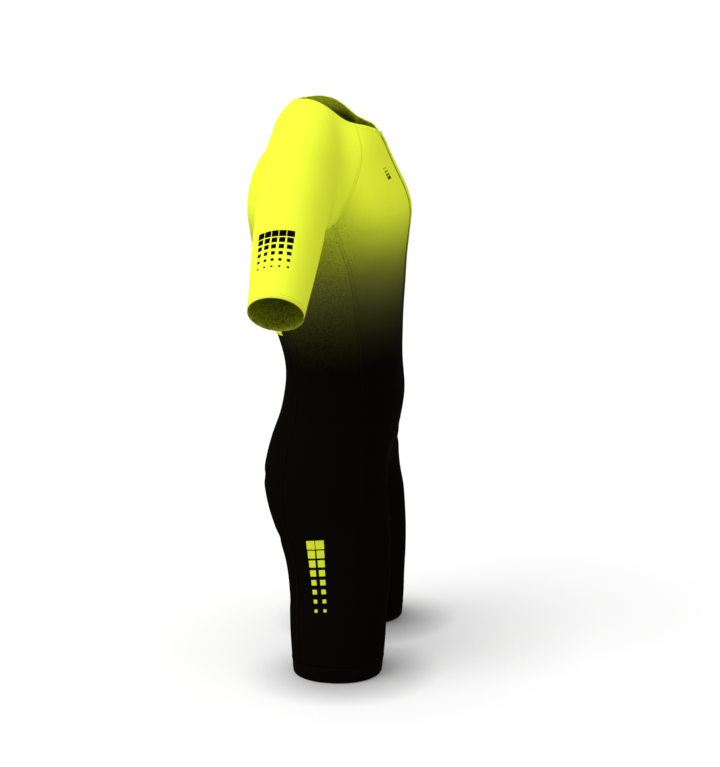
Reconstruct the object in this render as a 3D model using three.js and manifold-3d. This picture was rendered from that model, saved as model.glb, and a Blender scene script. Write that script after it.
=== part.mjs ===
// Short-sleeved one-piece triathlon suit in its worn form: thin sewn panels round an open hollow.
// Millimetres, +Z up, the front faces -Y and the wearer's right arm is at -X.
// Heights are counted up from a level just below the hems. The last lines move the origin to the shoulder line.
import * as THREE from 'three';
import { mergeVertices } from 'three/addons/utils/BufferGeometryUtils.js';
import Module from 'manifold-3d';

// Driving sizes
const CLOTH = 1.2;
const SEAM_GAP = 0.3;
const HELD_HEIGHT = 885;
const HEM_HEIGHT = 6;
const BAND_HEIGHT = 21;
const BAND_SEAM = HEM_HEIGHT + BAND_HEIGHT;

const NECK_HALF_WIDTH = 75;
const NECK_HALF_DEPTH = 67;
const NECK_MID_Y = -1;

const CUFF = new THREE.Vector3(-362, 30, 628);
const SHOULDER = new THREE.Vector3(-163, 27, 829);
const NECK_BASE = new THREE.Vector3(-58, 30, 867);
const SHOULDER_RADIUS = 57;
const NECK_BASE_RADIUS = 58;

const COIL_WIDTH = 4.2;
const COIL_THICKNESS = 1.6;
const COIL_PROUD = 0.4;
const TAPE_WIDTH = 26;
const TAPE_THICKNESS = 1;
const ZIP_END_REACH = 6;

const SLIDER = { width: 8, length: 11, thickness: 1.6, fromNeck: 10, corner: 2 };
const BAIL = { gap: 3.5, post: 1, barRadius: 0.55, barHeight: 1.95, length: 1.6 };
const TAB = {
  width: 4.6, length: 21, thickness: 1.3, corner: 2.09, eyeRadius: 1.6, eyeBore: 0.85, eyeWidth: 2.8, neck: 2.6,
};
const TAB_REST_TILT = 7;
const ROUND_SIDES = 12;
const CORNER_STEPS = 4;

const POCKET_HEIGHT = 114;
const POCKET_FOOT = 553;
const POCKET_HALF_WIDTH = 120;
const POCKET_GAP = 0.7;
const POCKET_CELLS = 10;

// Grid of the panels: cells along each stretch of seam, and across each panel
const RAGLAN_CELLS = 7;
const BODY_CELLS = 19;
const ZIP_BODY_CELLS = 8;
const LEG_CELLS = 9;
const UNDERARM_CELLS = 8;
const GUSSET_CELLS = 3;
const FRONT_CELLS = 8;
const BACK_CELLS = 9;
const SIDE_CELLS = 2 * GUSSET_CELLS;
const SLEEVE_CELLS = 16;
const BAND_CELLS = 28;

// A short table: each row becomes an object with the named columns.
function table(columns, rows) {
  return rows.map((row) => Object.fromEntries(columns.map((name, i) => [name, row[i]])));
}

// Body sections of a general figure: half width, and where the front and the back lie.
const TORSO = table(['height', 'half', 'front', 'back'], [
  [255, 148, -58, 70],
  [285, 161, -80, 90],
  [315, 167, -92, 98],
  [345, 167, -97, 98],
  [380, 163, -106, 92],
  [415, 158, -112, 84],
  [450, 153, -115, 78],
  [485, 150, -111, 75],
  [525, 151, -111, 82],
  [570, 156, -112, 97],
  [620, 163, -115, 113],
  [670, 170, -118, 124],
  [715, 174, -123, 132],
  [745, 174, -125, 136],
  [775, 169, -118, 134],
  [805, 158, -104, 127],
  [835, 139, -90, 112],
  [860, 112, -79, 94],
  [885, 79, -60, 80],
  [905, 60, -38, 73],
  [922, 44, -12, 64],
  [940, 20, 12, 42],
]);
const TORSO_SQUARE = 2.5;
const CROTCH_PLANE = 254;
const NECK_PLANE = 940;
const END_BLEND = 20;

// Leg sections, for the wearer's right leg: middle, half width, front and back.
const LEG = table(['height', 'mid', 'half', 'front', 'back'], [
  [-30, -147, 70, -96, 43],
  [0, -142, 72, -98, 46],
  [45, -134, 75, -102, 51],
  [90, -127, 78, -104, 54],
  [135, -118, 79, -107, 56],
  [180, -110, 81, -108, 63],
  [220, -103, 82, -107, 76],
  [255, -97, 82, -105, 90],
  [290, -92, 80, -99, 97],
  [325, -87, 75, -91, 96],
  [360, -84, 67, -81, 86],
  [400, -80, 50, -62, 66],
  [440, -74, 20, -25, 25],
]);
const LEG_SQUARE = 2.15;
const LEG_PLANE = 440;

// Arm radius along the way from the shoulder to the cuff.
const ARM = table(['share', 'radius'], [
  [0, 57],
  [0.25, 57],
  [0.5, 53],
  [0.75, 48],
  [1, 42],
  [1.2, 40],
]);

// How far the parts of the figure melt into each other
const CROTCH_BLEND = 26;
const HIP_BLEND = 40;
const ARMPIT_BLEND = 34;
const YOKE_BLEND = 24;
const SHOULDER_BLEND = 5;

// Finding places on the figure
const PROBE = 0.5;
const SETTLE_TURNS = 30;
const PLACE_TURNS = 4;
const SMALLEST = 1e-9;
const BODY_SWEEP = 1.4;
const SIDE_SWEEP = -1;
const SLEEVE_SWEEP = { neck: 1.6, gain: 3.5, lastRow: 1.3 };
const LONGEST_STEP = 15;
const FLATTEST_SLOPE = 0.2;
const CLOSE_ENOUGH = 1e-5;
const RAY_STRIDE = 2;
const LONGEST_RAY = 500;
const RAY_HALVINGS = 24;
const SEAM_SAMPLES = 8;
const NECK_RAY_FOOT = 780;

// Easing of the panels' rows next to the neckline, the gusset and the crotch
const NECK_EASE_ROWS = 3;
const GUSSET_EASE_ROWS = 2;
const CROTCH_ROW = RAGLAN_CELLS + BODY_CELLS;
const CROTCH_REACH = 4;
const CROTCH_TURNS = 6;

// Smooth value of every column of a table at one place in its first column.
function along(rows, key, at) {
  const last = rows.length - 1;
  const place = Math.min(Math.max(at, rows[0][key]), rows[last][key]);
  let i = 0;
  while (i < last - 1 && rows[i + 1][key] < place) i += 1;
  const before = rows[Math.max(i - 1, 0)];
  const low = rows[i];
  const high = rows[i + 1];
  const after = rows[Math.min(i + 2, last)];
  const span = high[key] - low[key];
  const t = (place - low[key]) / span;
  const value = {};
  for (const name of Object.keys(low)) {
    const slopeLow = ((high[name] - before[name]) / (high[key] - before[key])) * span;
    const slopeHigh = ((after[name] - low[name]) / (after[key] - low[key])) * span;
    const rise = high[name] - low[name];
    value[name] = low[name] + t * (slopeLow
      + t * (3 * rise - 2 * slopeLow - slopeHigh + t * (slopeLow + slopeHigh - 2 * rise)));
  }
  return value;
}

function blend(a, b, reach) {
  const near = Math.max(reach - Math.abs(a - b), 0) / reach;
  return Math.min(a, b) - (near * near * reach) / 4;
}

// How far a point lies outside a section of half sizes a and b, with a squareness.
function outside(x, y, a, b, square) {
  const norm = (Math.abs(x / a) ** square + Math.abs(y / b) ** square) ** (1 / square);
  return (norm - 1) * Math.sqrt(a * b);
}

function torsoField(x, y, h) {
  const s = along(TORSO, 'height', h);
  const trunk = outside(x, y - (s.front + s.back) / 2, s.half, (s.back - s.front) / 2, TORSO_SQUARE);
  return -blend(blend(-trunk, h - CROTCH_PLANE, HIP_BLEND), NECK_PLANE - h, END_BLEND);
}

function legField(x, y, h) {
  const s = along(LEG, 'height', h);
  const leg = outside(x - s.mid, y - (s.front + s.back) / 2, s.half, (s.back - s.front) / 2, LEG_SQUARE);
  return -blend(-leg, LEG_PLANE - h, END_BLEND);
}

// Distance outside a round limb that runs from one point to another.
function limbField(x, y, h, from, to, radiusAt, beyond) {
  const ax = to.x - from.x;
  const ay = to.y - from.y;
  const ah = to.z - from.z;
  const share = ((x - from.x) * ax + (y - from.y) * ay + (h - from.z) * ah) / (ax * ax + ay * ay + ah * ah);
  const held = Math.min(Math.max(share, 0), beyond);
  return Math.hypot(x - from.x - held * ax, y - from.y - held * ay, h - from.z - held * ah) - radiusAt(held);
}

const armRadius = (share) => along(ARM, 'share', share).radius;
const yokeRadius = (share) => NECK_BASE_RADIUS + share * (SHOULDER_RADIUS - NECK_BASE_RADIUS);

// The figure that the suit is worn on: negative inside, positive outside, zero at the cloth's outer face.
function figure(x, y, h) {
  const side = -Math.abs(x);
  const legs = blend(legField(x, y, h), legField(-x, y, h), CROTCH_BLEND);
  const body = blend(torsoField(x, y, h), legs, HIP_BLEND);
  const arm = limbField(side, y, h, SHOULDER, CUFF, armRadius, ARM[ARM.length - 1].share);
  const yoke = limbField(side, y, h, NECK_BASE, SHOULDER, yokeRadius, 1);
  return blend(body, blend(arm, yoke, SHOULDER_BLEND), shoulderReach(h));
}

// The arm melts into the body over a longer way under the arm than over the shoulder.
function shoulderReach(h) {
  const share = Math.min(Math.max((SHOULDER.z - h) / SHOULDER_RADIUS, 0), 1);
  return YOKE_BLEND + share * (ARMPIT_BLEND - YOKE_BLEND);
}

function steepest(p) {
  return new THREE.Vector3(
    figure(p.x + PROBE, p.y, p.z) - figure(p.x - PROBE, p.y, p.z),
    figure(p.x, p.y + PROBE, p.z) - figure(p.x, p.y - PROBE, p.z),
    figure(p.x, p.y, p.z + PROBE) - figure(p.x, p.y, p.z - PROBE),
  ).divideScalar(2 * PROBE);
}

const normalAt = (p) => steepest(p).normalize();

// Moves a point straight onto the figure.
function settle(p) {
  const q = p.clone();
  for (let turn = 0; turn < SETTLE_TURNS; turn += 1) {
    const slope = steepest(q);
    const step = figure(q.x, q.y, q.z) / Math.max(slope.lengthSq(), FLATTEST_SLOPE);
    q.addScaledVector(slope, -Math.min(Math.max(step, -LONGEST_STEP), LONGEST_STEP));
    if (Math.abs(step) < CLOSE_ENOUGH) break;
  }
  return q;
}

// The first place where a ray from inside leaves the figure.
function cast(from, direction) {
  let inner = 0;
  let outer = RAY_STRIDE;
  const at = (t) => figure(from.x + t * direction.x, from.y + t * direction.y, from.z + t * direction.z);
  while (at(outer) < 0 && outer < LONGEST_RAY) {
    inner = outer;
    outer += RAY_STRIDE;
  }
  for (let turn = 0; turn < RAY_HALVINGS; turn += 1) {
    const half = (inner + outer) / 2;
    if (at(half) < 0) inner = half;
    else outer = half;
  }
  return from.clone().addScaledVector(direction, (inner + outer) / 2);
}

// Points at even spacing along a smooth curve through rough places, on the figure.
function seam(rough, cells, shareOf = (t) => t) {
  const through = rough.map((s) => new THREE.Vector3(s.x, s.y, s.height));
  const curve = new THREE.CatmullRomCurve3(through, false, 'centripetal');
  return spaced(curve.getSpacedPoints(cells * SEAM_SAMPLES).map(settle), cells, shareOf);
}

function lengths(points) {
  const runs = [0];
  for (let i = 1; i < points.length; i += 1) runs.push(runs[i - 1] + points[i].distanceTo(points[i - 1]));
  return runs;
}

// The point at one length along a run of points.
function atLength(points, runs, want) {
  let i = 1;
  while (i < points.length - 1 && runs[i] < want) i += 1;
  return points[i - 1].clone().lerp(points[i], (want - runs[i - 1]) / (runs[i] - runs[i - 1]));
}

function spaced(points, cells, shareOf) {
  const runs = lengths(points);
  const total = runs[runs.length - 1];
  return Array.from({ length: cells + 1 }, (_, k) => atLength(points, runs, total * shareOf(k / cells)));
}

// The centre seams are longer than the side seams: their steps grow towards the crotch to keep rows level.
const CROTCH_STRETCH = 0.25;
const growing = (t) => (1 - CROTCH_STRETCH) * t + CROTCH_STRETCH * t ** 3;

// Where the neckline lies above a turn in plan: 0 at the front, 180 degrees at the back.
function neckPoint(turn) {
  const angle = THREE.MathUtils.degToRad(turn);
  const x = -NECK_HALF_WIDTH * Math.sin(angle);
  const y = NECK_MID_Y - NECK_HALF_DEPTH * Math.cos(angle);
  return cast(new THREE.Vector3(x, y, NECK_RAY_FOOT), new THREE.Vector3(0, 0, 1));
}

const FRONT_RAGLAN_TURN = 53;
const BACK_RAGLAN_TURN = 155;

// Where a seam meets the leg band, by its turn in plan: 0 at the front, 90 degrees at the outer side.
function bandPlace(turn) {
  const s = along(LEG, 'height', BAND_SEAM);
  const angle = THREE.MathUtils.degToRad(turn);
  const middle = new THREE.Vector3(s.mid, (s.front + s.back) / 2, BAND_SEAM);
  return placeOf(cast(middle, new THREE.Vector3(-Math.sin(angle), -Math.cos(angle), 0)));
}

const placeOf = (p) => ({ x: p.x, y: p.y, height: p.z });
const places = (rows) => table(['x', 'y', 'height'], rows);

const neckFront = neckPoint(0);
const neckBack = neckPoint(180);
const neckFrontRaglan = neckPoint(FRONT_RAGLAN_TURN);
const neckBackRaglan = neckPoint(BACK_RAGLAN_TURN);

// Where panels meet, on the wearer's right
const UNDERARM_FRONT = { x: -163, y: -22, height: 738 };
const UNDERARM_MIDDLE = { x: -178, y: 22, height: 735 };
const UNDERARM_BACK = { x: -163, y: 68, height: 738 };
const CHEST_FRONT = { x: 0, y: -125, height: 742 };
const CHEST_BACK = { x: 0, y: 136, height: 742 };
const CROTCH = { x: 0, y: 8, height: 246 };
const HIP_FRONT = { x: -160, y: -66, height: 262 };
const HIP_BACK = { x: -160, y: 62, height: 262 };

const SEAMS = {
  raglanFront: seam([placeOf(neckFrontRaglan), ...places([[-84, -50, 855], [-112, -50, 815], [-143, -40, 770]]),
    UNDERARM_FRONT], RAGLAN_CELLS),
  raglanBack: seam([placeOf(neckBackRaglan), ...places([[-70, 92, 880], [-112, 106, 830], [-146, 96, 775]]),
    UNDERARM_BACK], RAGLAN_CELLS),
  gussetFront: seam([UNDERARM_FRONT, { x: -174, y: -2, height: 735 }, UNDERARM_MIDDLE], GUSSET_CELLS),
  gussetBack: seam([UNDERARM_MIDDLE, { x: -174, y: 47, height: 735 }, UNDERARM_BACK], GUSSET_CELLS),
  underarm: seam([UNDERARM_MIDDLE, { x: -210, y: 28, height: 708 }, { x: -250, y: 30, height: 668 },
    { x: -332, y: 30, height: 598 }], UNDERARM_CELLS),
  sideFront: seam([UNDERARM_FRONT, ...places([[-155, -48, 660], [-144, -62, 560], [-140, -66, 480],
    [-150, -68, 380]]), HIP_FRONT], BODY_CELLS),
  sideBack: seam([UNDERARM_BACK, ...places([[-150, 78, 660], [-134, 62, 560], [-130, 44, 480],
    [-152, 56, 380]]), HIP_BACK], BODY_CELLS),
  legFront: seam([HIP_FRONT, ...places([[-172, -66, 180], [-184, -64, 90]]), bandPlace(62)], LEG_CELLS),
  legBack: seam([HIP_BACK, ...places([[-172, 40, 180], [-176, 28, 90]]), bandPlace(138)], LEG_CELLS),
  inseam: seam([CROTCH, ...places([[-34, -10, 180], [-54, -22, 90]]), bandPlace(-90)], LEG_CELLS),
  centreFrontTop: seam([placeOf(neckFront), ...places([[0, -96, 818]]), CHEST_FRONT], RAGLAN_CELLS),
  centreFront: seam([CHEST_FRONT, ...places([[0, -116, 620], [0, -110, 500], [0, -114, 440], [0, -103, 345],
    [0, -70, 280]]), CROTCH], BODY_CELLS, growing),
  centreBackTop: seam([placeOf(neckBack), ...places([[0, 100, 860]]), CHEST_BACK], RAGLAN_CELLS),
  centreBack: seam([CHEST_BACK, ...places([[0, 113, 620], [0, 78, 485], [0, 96, 380], [0, 104, 330],
    [0, 76, 272]]), CROTCH], BODY_CELLS, growing),
};

const joined = (...runs) => runs.flatMap((run, i) => (i ? run.slice(1) : run));

// Inner axis of the body and the right leg, one row for some of the panels' rows.
const BODY_AXIS = table(['row', 'x', 'y', 'height', 'leanX', 'leanY', 'leanZ'], [
  [0, -12, 12, 800, 0, 0, 1],
  [RAGLAN_CELLS, -10, 5, 735, 0, 0, 1],
  [RAGLAN_CELLS + 0.55 * BODY_CELLS, -10, -14, 480, 0, 0, 1],
  [RAGLAN_CELLS + 0.8 * BODY_CELLS, -50, -4, 385, 0, 0, 1],
  [RAGLAN_CELLS + BODY_CELLS, -84, 0, 300, 0, 0, 1],
  [RAGLAN_CELLS + BODY_CELLS + 0.35 * LEG_CELLS, -108, -14, 200, 0, 0, 1],
  [RAGLAN_CELLS + BODY_CELLS + LEG_CELLS, -138, -26, BAND_SEAM, 0, 0, 1],
]);

// Inner axis of the right sleeve, from the neck to the cuff. The bow draws the middle of a row to the neck.
const SLEEVE_AXIS = table(['row', 'x', 'y', 'height', 'leanX', 'leanY', 'leanZ', 'bow'], [
  [0, -38, 16, 850, -0.98, 0, -0.2, 0],
  [0.55 * RAGLAN_CELLS, -100, 22, 836, -0.92, 0, -0.4, 0.1],
  [RAGLAN_CELLS, -178, 26, 800, -0.76, 0, -0.65, 0.42],
  [RAGLAN_CELLS + GUSSET_CELLS, -212, 28, 780, -0.707, 0, -0.707, 0.08],
  [RAGLAN_CELLS + GUSSET_CELLS + 0.4 * UNDERARM_CELLS, -264, 29, 727, -0.707, 0, -0.707, 0],
  [RAGLAN_CELLS + GUSSET_CELLS + UNDERARM_CELLS, CUFF.x, CUFF.y, CUFF.z, -0.707, 0, -0.707, 0],
]);

// Azimuth and rise of a point as seen from an axis row, measured round its lean.
function seenFrom(axis, p) {
  const rel = new THREE.Vector3(p.x - axis.x, p.y - axis.y, p.z - axis.height);
  const rise = rel.dot(axis.lean);
  return {
    turn: Math.atan2(rel.dot(axis.forth), rel.dot(axis.over)),
    slope: Math.atan2(rise, Math.sqrt(Math.max(rel.lengthSq() - rise * rise, SMALLEST))),
  };
}

function axisRow(rows, row, start) {
  const s = along(rows, 'row', row);
  const lean = new THREE.Vector3(s.leanX, s.leanY, s.leanZ).normalize();
  const over = start.clone().addScaledVector(lean, -start.dot(lean)).normalize();
  return { x: s.x, y: s.y, height: s.height, lean, over, forth: lean.clone().cross(over), bow: s.bow ?? 0 };
}

// Rows of points from one edge to the other, swept round the axis on the figure.
function sweep({ left, right, axisRows, firstRow, cells, start, sweepGuess }) {
  return left.map((from, j) => {
    const axis = axisRow(axisRows, firstRow + j, start);
    const a = seenFrom(axis, from);
    const b = seenFrom(axis, right[j]);
    const guess = sweepGuess(j);
    const full = 2 * Math.PI;
    const turned = b.turn - a.turn + full * Math.round((guess - (b.turn - a.turn)) / full);
    return Array.from({ length: cells + 1 }, (_, i) => {
      if (i === 0) return from.clone();
      if (i === cells) return right[j].clone();
      const turn = a.turn + (turned * i) / cells;
      const slope = a.slope + ((b.slope - a.slope) * i) / cells - axis.bow * Math.sin((Math.PI * i) / cells);
      const direction = new THREE.Vector3()
        .addScaledVector(axis.over, Math.cos(turn) * Math.cos(slope))
        .addScaledVector(axis.forth, Math.sin(turn) * Math.cos(slope))
        .addScaledVector(axis.lean, Math.sin(slope));
      return cast(new THREE.Vector3(axis.x, axis.y, axis.height), direction);
    });
  });
}

// Makes the first row follow a given edge, with the next rows easing back to their own places.
function followEdge(grid, edge, rows) {
  const shift = edge.map((p, i) => p.clone().sub(grid[0][i]));
  for (let j = 0; j < rows; j += 1) {
    const share = (1 - j / rows) ** 2;
    grid[j] = grid[j].map((p, i) => {
      if (j > 0 && (i === 0 || i === edge.length - 1)) return p;
      return settle(p.clone().addScaledVector(shift[i], share));
    });
  }
  return grid;
}

// Evens out the rows next to the crotch, where the two legs part.
function easeCrotch(grid) {
  for (let turn = 0; turn < CROTCH_TURNS; turn += 1) {
    for (let j = CROTCH_ROW - CROTCH_REACH; j <= CROTCH_ROW + CROTCH_REACH; j += 1) {
      for (let i = 1; i < grid[j].length - 1; i += 1) {
        const mean = grid[j - 1][i].clone().add(grid[j + 1][i]).add(grid[j][i - 1]).add(grid[j][i + 1]);
        mean.divideScalar(4).setX(Math.min(mean.x, -i));
        grid[j][i] = settle(mean);
      }
    }
  }
}

// Draws an edge of the grid back from its seam by a distance, in the figure's surface.
function drawBack(grid, { left = SEAM_GAP / 2, right = SEAM_GAP / 2, top = 0, foot = 0 }) {
  const rows = grid.length;
  const columns = grid[0].length;
  const copy = grid.map((row) => row.map((p) => p.clone()));
  const valueAt = (amount, j) => (typeof amount === 'function' ? amount(j) : amount);
  const push = (j, i, alongEdge, inward, amount) => {
    const p = grid[j][i];
    const n = normalAt(p);
    const edge = alongEdge.clone().addScaledVector(n, -alongEdge.dot(n)).normalize();
    const aim = inward.clone().addScaledVector(n, -inward.dot(n));
    aim.addScaledVector(edge, -aim.dot(edge)).normalize();
    copy[j][i].addScaledVector(aim, amount);
  };
  for (let j = 0; j < rows; j += 1) {
    const up = grid[Math.max(j - 1, 0)];
    const down = grid[Math.min(j + 1, rows - 1)];
    push(j, 0, down[0].clone().sub(up[0]), grid[j][1].clone().sub(grid[j][0]), valueAt(left, j));
    const end = columns - 1;
    push(j, end, down[end].clone().sub(up[end]), grid[j][end - 1].clone().sub(grid[j][end]), valueAt(right, j));
  }
  for (let i = 0; i < columns; i += 1) {
    const before = Math.max(i - 1, 0);
    const after = Math.min(i + 1, columns - 1);
    const end = rows - 1;
    if (top) push(0, i, grid[0][after].clone().sub(grid[0][before]), grid[1][i].clone().sub(grid[0][i]), top);
    if (foot) {
      push(end, i, grid[end][after].clone().sub(grid[end][before]), grid[end - 1][i].clone().sub(grid[end][i]), foot);
    }
  }
  return copy;
}

// Closed wall between two layers of the same grid, the first one facing out.
function wall(outer, inner, ring = false) {
  const rows = outer.length;
  const columns = outer[0].length;
  const points = [...outer.flat(), ...inner.flat()];
  const under = rows * columns;
  const faces = [];
  const quad = (a, b, c, d) => faces.push(a, b, c, a, c, d);
  const id = (j, i) => j * columns + (ring ? i % columns : i);
  const across = ring ? columns : columns - 1;
  for (let j = 0; j < rows - 1; j += 1) {
    for (let i = 0; i < across; i += 1) {
      const [a, b, c, d] = [id(j, i), id(j + 1, i), id(j + 1, i + 1), id(j, i + 1)];
      quad(a, b, c, d);
      quad(under + a, under + d, under + c, under + b);
    }
  }
  for (let i = 0; i < across; i += 1) {
    const [a, b] = [id(0, i), id(0, i + 1)];
    quad(a, b, under + b, under + a);
    const [c, d] = [id(rows - 1, i), id(rows - 1, i + 1)];
    quad(c, under + c, under + d, d);
  }
  for (let j = 0; j < rows - 1 && !ring; j += 1) {
    const [a, b] = [id(j, 0), id(j + 1, 0)];
    quad(a, under + a, under + b, b);
    const [c, d] = [id(j, columns - 1), id(j + 1, columns - 1)];
    quad(c, d, under + d, under + c);
  }
  return solidOf(points, faces);
}

// A closed mesh with its faces turned outwards.
function solidOf(points, faces) {
  let volume = 0;
  for (let i = 0; i < faces.length; i += 3) {
    const [a, b, c] = [points[faces[i]], points[faces[i + 1]], points[faces[i + 2]]];
    volume += a.dot(b.clone().cross(c));
  }
  const index = [...faces];
  for (let i = 0; volume < 0 && i < index.length; i += 3) [index[i + 1], index[i + 2]] = [index[i + 2], index[i + 1]];
  const geometry = new THREE.BufferGeometry();
  geometry.setAttribute('position', new THREE.Float32BufferAttribute(points.flatMap((p) => [p.x, p.y, p.z]), 3));
  geometry.setIndex(index);
  geometry.computeVertexNormals();
  return geometry;
}

const movedOut = (grid, distance) => grid.map((row) => row.map((p) => {
  const n = normalAt(p);
  return p.clone().addScaledVector(n, distance);
}));

// The same piece on the wearer's left.
function mirrored(geometry) {
  const other = geometry.clone();
  other.scale(-1, 1, 1);
  const index = other.getIndex().array;
  for (let i = 0; i < index.length; i += 3) [index[i + 1], index[i + 2]] = [index[i + 2], index[i + 1]];
  other.computeVertexNormals();
  return other;
}

// Panels of the wearer's right side, as grids of outer points
const START = new THREE.Vector3(0, -1, 0);
const ZIP_ROWS = RAGLAN_CELLS + ZIP_BODY_CELLS;
const COIL_CLEARANCE = COIL_WIDTH / 2 + SEAM_GAP;

// The row below the zip's foot lies close under it, so that the fronts close to a plain seam at once.
function closeUnderZip(points) {
  const runs = lengths(points);
  const foot = runs[ZIP_ROWS];
  const rest = runs[runs.length - 1] - foot - ZIP_END_REACH;
  const below = points.length - ZIP_ROWS - 2;
  const under = Array.from({ length: below + 1 },
    (_, k) => atLength(points, runs, foot + ZIP_END_REACH + (rest * k) / below));
  return [...points.slice(0, ZIP_ROWS + 1), ...under];
}

const frontCentre = closeUnderZip(joined(SEAMS.centreFrontTop, SEAMS.centreFront));
const frontInner = joined(frontCentre, SEAMS.inseam);
const frontOuter = joined(SEAMS.raglanFront, SEAMS.sideFront, SEAMS.legFront);
const backInner = joined(SEAMS.centreBackTop, SEAMS.centreBack, SEAMS.inseam);
const backOuter = joined(SEAMS.raglanBack, SEAMS.sideBack, SEAMS.legBack);
const neckRun = (from, to, cells) => Array.from({ length: cells + 1 },
  (_, i) => neckPoint(from + ((to - from) * i) / cells));

function frontGrid() {
  const grid = sweep({
    left: frontInner, right: frontOuter, axisRows: BODY_AXIS, firstRow: 0, cells: FRONT_CELLS, start: START,
    sweepGuess: () => -BODY_SWEEP,
  });
  followEdge(grid, neckRun(0, FRONT_RAGLAN_TURN, FRONT_CELLS), NECK_EASE_ROWS);
  easeCrotch(grid);
  return drawBack(grid, { left: (j) => (j <= ZIP_ROWS ? COIL_CLEARANCE : SEAM_GAP / 2), foot: SEAM_GAP / 2 });
}

function backGrid() {
  const grid = sweep({
    left: backInner, right: backOuter, axisRows: BODY_AXIS, firstRow: 0, cells: BACK_CELLS, start: START,
    sweepGuess: () => BODY_SWEEP,
  });
  followEdge(grid, neckRun(180, BACK_RAGLAN_TURN, BACK_CELLS), NECK_EASE_ROWS);
  easeCrotch(grid);
  return drawBack(grid, { foot: SEAM_GAP / 2 });
}

function sideGrid() {
  const grid = sweep({
    left: joined(SEAMS.sideFront, SEAMS.legFront), right: joined(SEAMS.sideBack, SEAMS.legBack),
    axisRows: BODY_AXIS, firstRow: RAGLAN_CELLS, cells: SIDE_CELLS, start: START,
    sweepGuess: () => SIDE_SWEEP,
  });
  followEdge(grid, joined(SEAMS.gussetFront, SEAMS.gussetBack), GUSSET_EASE_ROWS);
  return drawBack(grid, { top: SEAM_GAP / 2, foot: SEAM_GAP / 2 });
}

function sleeveGrid() {
  const back = joined(SEAMS.raglanBack, [...SEAMS.gussetBack].reverse(), SEAMS.underarm);
  const front = joined(SEAMS.raglanFront, SEAMS.gussetFront, SEAMS.underarm);
  const grid = sweep({
    left: front, right: back, axisRows: SLEEVE_AXIS, firstRow: 0, cells: SLEEVE_CELLS,
    start: new THREE.Vector3(0, 0, -1),
    sweepGuess: (j) => SLEEVE_SWEEP.neck + Math.min(j / RAGLAN_CELLS, SLEEVE_SWEEP.lastRow) * SLEEVE_SWEEP.gain,
  });
  followEdge(grid, neckRun(FRONT_RAGLAN_TURN, BACK_RAGLAN_TURN, SLEEVE_CELLS), NECK_EASE_ROWS);
  return drawBack(grid, {});
}

function bandGrid() {
  return [BAND_SEAM - SEAM_GAP / 2, HEM_HEIGHT].map((height) => {
    const s = along(LEG, 'height', height);
    const middle = new THREE.Vector3(s.mid, (s.front + s.back) / 2, height);
    return Array.from({ length: BAND_CELLS }, (_, i) => {
      const turn = (2 * Math.PI * i) / BAND_CELLS;
      return cast(middle, new THREE.Vector3(Math.sin(turn), -Math.cos(turn), 0));
    });
  });
}

const PANELS = { front: frontGrid(), back: backGrid(), side: sideGrid(), sleeve: sleeveGrid() };

const lined = (grid, ring) => wall(grid, movedOut(grid, -CLOTH), ring);

// A row of points with its mirror image, running from the wearer's left to the right.
function bothSides(points) {
  const other = points.map((p) => new THREE.Vector3(-p.x, p.y, p.z));
  return [...other.reverse(), ...points];
}

function coilSolid() {
  const grid = frontCentre.slice(0, ZIP_ROWS + 1).map((p) => bothSides([p.clone().setX(-COIL_WIDTH / 2)]));
  return wall(movedOut(grid, COIL_PROUD), movedOut(grid, COIL_PROUD - COIL_THICKNESS));
}

function tapeSolid() {
  const grid = PANELS.front.slice(0, ZIP_ROWS + 2).map((row, j) => {
    const edge = crossing(row.map((p) => p.x), -TAPE_WIDTH / 2);
    return bothSides([0, edge / 2, edge].map((column) => onPanel(PANELS.front, j, column)));
  });
  const face = -CLOTH - SEAM_GAP;
  return wall(movedOut(grid, face), movedOut(grid, face - TAPE_THICKNESS));
}

// A point at a broken row and column of a panel's grid.
function onPanel(grid, row, column) {
  const j = Math.min(Math.floor(row), grid.length - 2);
  const i = Math.min(Math.floor(column), grid[0].length - 2);
  const upper = grid[j][i].clone().lerp(grid[j][i + 1], column - i);
  const lower = grid[j + 1][i].clone().lerp(grid[j + 1][i + 1], column - i);
  return upper.lerp(lower, row - j);
}

// Where a run of values passes one value, as a broken index.
function crossing(values, want) {
  const i = values.findIndex((value, k) => k > 0 && (value - want) * (values[k - 1] - want) <= 0);
  return i - 1 + (want - values[i - 1]) / (values[i] - values[i - 1]);
}

// The point of a panel at one height and one distance from the middle, between its own points.
function panelPlace(grid, x, height) {
  let row = crossing(grid.map((points) => points[0].z), height);
  let column = 0;
  for (let turn = 0; turn < PLACE_TURNS; turn += 1) {
    const level = grid[0].map((_, i) => onPanel(grid, row, i).x);
    column = x > level[0] ? 0 : crossing(level, x);
    const upright = grid.map((_, j) => onPanel(grid, j, column).z);
    row = crossing(upright, height);
  }
  return onPanel(grid, row, column);
}

function pocketSolid() {
  const face = Array.from({ length: POCKET_CELLS + 1 }, (_, j) => {
    const height = POCKET_FOOT + POCKET_HEIGHT * (1 - j / POCKET_CELLS);
    return bothSides(Array.from({ length: POCKET_CELLS + 1 },
      (_unused, i) => panelPlace(PANELS.back, (-POCKET_HALF_WIDTH * i) / POCKET_CELLS, height)));
  });
  return wall(movedOut(face, POCKET_GAP + CLOTH), movedOut(face, POCKET_GAP));
}

// Hard parts of the zip, built flat: X across, Y up the coil, Z out from it
const wasm = await Module();
wasm.setup();

function manifoldOf(geometry) {
  const bare = geometry.clone();
  bare.deleteAttribute('normal');
  bare.deleteAttribute('uv');
  const merged = mergeVertices(bare);
  return new wasm.Manifold(new wasm.Mesh({
    numProp: 3,
    vertProperties: merged.getAttribute('position').array,
    triVerts: new Uint32Array(merged.getIndex().array),
  }));
}

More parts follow.
